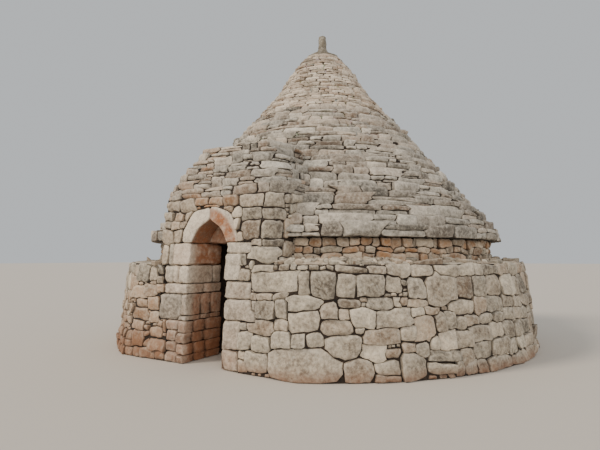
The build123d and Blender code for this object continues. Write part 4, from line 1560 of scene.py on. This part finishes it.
def closed_tube(profile, count, section, seed, rough):
    """A closed body round the cone's axis: each (radius, height) of the profile is carried
    round by the section's own measure of a turn, with ripple in and out. Points close both
    ends."""
    turn = (np.arange(count) + 0.5) * 2 * pi / count
    radii, heights = np.array(profile).T
    ring = radii[:, None] * section(turn)
    spots = around(turn, ring, heights[:, None])
    push = rough * (ripple(spots, 0.09, seed) + 0.5 * ripple(spots, 0.035, seed + 1))
    spots = around(turn, ring + push, heights[:, None] + 0.5 * push)
    ends = np.array([(0, AXIS_Y, heights[0]), (0, AXIS_Y, heights[-1])])
    points = np.concatenate([spots.reshape(-1, 3), ends])
    values = {key: np.full(len(points), level) for key, level in TOP_VALUES.items()}
    return points, capped_rings(len(radii), count), values


class TRULLO_OT_top(bpy.types.Operator):
    """Set the capstone and the finial, a conical foot and a square post"""

    bl_idname = "trullo.top"
    bl_label = "Capstone and finial"

    def execute(self, context):
        low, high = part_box("capstone")
        radius, rise = (high.x - low.x) / 2 + CAPSTONE_BRIM, np.linspace(0, 1, 7)
        rim = radius * (1 - 0.06 * np.abs(2 * rise - 1) ** 6)
        profile = [(0.5 * radius, low.z), *zip(rim, low.z + rise * (high.z - low.z))]
        profile += [(radius * share, high.z + 0.004 * (1 - share)) for share in (0.85, 0.6, 0.3)]
        laid = closed_tube(profile, count=48, section=waved, seed=141, rough=0.004)
        add_piece("capstone_slab", laid, "finial", ["capstone"])

        low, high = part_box("finial_foot")
        foot, rise = (high.x - low.x) / 2, np.linspace(0, 1, 22)
        curve = foot + (NECK_RADIUS - foot) * rise + 0.008 * np.sin(pi * rise)
        profile = [(0.6 * foot, low.z), *zip(curve, low.z + rise * (high.z - low.z))]
        profile.append((0.5 * NECK_RADIUS, high.z + 0.001))
        laid = closed_tube(profile, count=48, section=nearly_round, seed=143, rough=0.005)
        add_piece("finial_cone", laid, "finial", ["finial_foot"])

        low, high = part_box("finial_post")
        half, rise = (high.x - low.x) / 2, np.linspace(0, 1, 26)
        curve = half * (1.04 - 0.14 * rise)
        profile = [(0.5 * half, low.z), *zip(curve, low.z + rise * (high.z - low.z))]
        profile.append((0.4 * half, high.z - 0.002))
        laid = closed_tube(profile, count=56, section=squared, seed=145, rough=0.005)
        add_piece("finial_square_post", laid, "finial", ["finial_post"])
        return {"FINISHED"}


# Half the floor's side, in metres
FLOOR_REACH = 150.0

# Lamps as suns: where the light comes from, its strength, its angle in degrees and its colour
LAMPS = {
    "key": ((-7.0, -9.0, 9.0), 2.1, 14, "#FFF1DF"),
    "fill": ((7.0, -9.0, 4.0), 1.5, 40, "#FFF3E6"),
}

# Where the camera stands, in metres and in degrees round the house from its front, and how
# many degrees it looks to the left of the cone's axis and up
CAMERA_AWAY = 9.62
CAMERA_HEIGHT = 1.5
CAMERA_ROUND = 29
CAMERA_LEFT = 2.80
CAMERA_UP = 4.08


class TRULLO_OT_stage(bpy.types.Operator):
    """Make the floor, the light and the camera"""

    bl_idname = "trullo.stage"
    bl_label = "Stage"

    def execute(self, context):
        scene = context.scene
        mesh = bpy.data.meshes.new("floor")
        r = FLOOR_REACH
        mesh.from_pydata([(-r, -r, 0), (r, -r, 0), (r, r, 0), (-r, r, 0)], [], [(0, 1, 2, 3)])
        floor = bpy.data.objects.new("floor", mesh)
        scene.collection.objects.link(floor)
        plain = bpy.data.materials.new("plain_floor")
        plain.use_nodes = True
        shader = plain.node_tree.nodes["Principled BSDF"]
        shader.inputs["Base Color"].default_value = (*scene.trullo_colours.floor, 1)
        shader.inputs["Roughness"].default_value = 0.9
        mesh.materials.append(plain)

        world = bpy.data.worlds.new("soft_sky")
        world.use_nodes = True
        background = world.node_tree.nodes["Background"]
        background.inputs["Color"].default_value = (*scene.trullo_colours.sky, 1)
        background.inputs["Strength"].default_value = 0.8
        scene.world = world

        for name, (place, power, spread, colour) in LAMPS.items():
            lamp = bpy.data.lights.new(name, "SUN")
            lamp.energy, lamp.angle, lamp.color = power, radians(spread), linear(colour)
            light = bpy.data.objects.new(name, lamp)
            scene.collection.objects.link(light)
            light.location = place
            light.rotation_euler = (-Vector(place)).to_track_quat("-Z", "Y").to_euler()

        lens = bpy.data.cameras.new("camera")
        lens.lens, lens.sensor_width, lens.clip_end = scene.trullo_sizes.lens, 36, 500
        camera = bpy.data.objects.new("camera", lens)
        scene.collection.objects.link(camera)
        heading, pitch = radians(CAMERA_ROUND + CAMERA_LEFT), radians(CAMERA_UP)
        camera.location = around(radians(CAMERA_ROUND), CAMERA_AWAY, CAMERA_HEIGHT)
        flat = np.cos(pitch)
        aim = Vector((-np.sin(heading) * flat, np.cos(heading) * flat, np.sin(pitch)))
        camera.rotation_euler = aim.to_track_quat("-Z", "Y").to_euler()
        scene.camera = camera
        return {"FINISHED"}


STEPS = (
    TRULLO_OT_core, TRULLO_OT_foot_wall, TRULLO_OT_ledge, TRULLO_OT_drum, TRULLO_OT_bay,
    TRULLO_OT_jambs, TRULLO_OT_arch, TRULLO_OT_cone, TRULLO_OT_bay_roof, TRULLO_OT_top,
    TRULLO_OT_stage,
)


class TRULLO_PT_panel(bpy.types.Panel):
    """Sizes, colours and the steps that lay the house"""

    bl_idname = "TRULLO_PT_panel"
    bl_label = "Trullo house"
    bl_space_type = "VIEW_3D"
    bl_region_type = "UI"
    bl_category = "Trullo"

    def draw(self, context):
        for group in (context.scene.trullo_sizes, context.scene.trullo_colours):
            for key in group.__annotations__:
                self.layout.prop(group, key)
        for step in STEPS:
            self.layout.operator(step.bl_idname)


CLASSES = (TrulloSizes, TrulloColours, *STEPS, TRULLO_PT_panel)


def register():
    """Registers the classes and hangs the settings on the scene."""
    for cls in CLASSES:
        bpy.utils.register_class(cls)
    bpy.types.Scene.trullo_sizes = bpy.props.PointerProperty(type=TrulloSizes)
    bpy.types.Scene.trullo_colours = bpy.props.PointerProperty(type=TrulloColours)


def unregister():
    """Takes the settings off the scene and unregisters the classes."""
    del bpy.types.Scene.trullo_colours
    del bpy.types.Scene.trullo_sizes
    for cls in reversed(CLASSES):
        bpy.utils.unregister_class(cls)


def main():
    """Lays the whole house."""
    register()
    for step in STEPS:
        group, call = step.bl_idname.split(".")
        getattr(getattr(bpy.ops, group), call)()


if __name__ == "__main__":
    main()
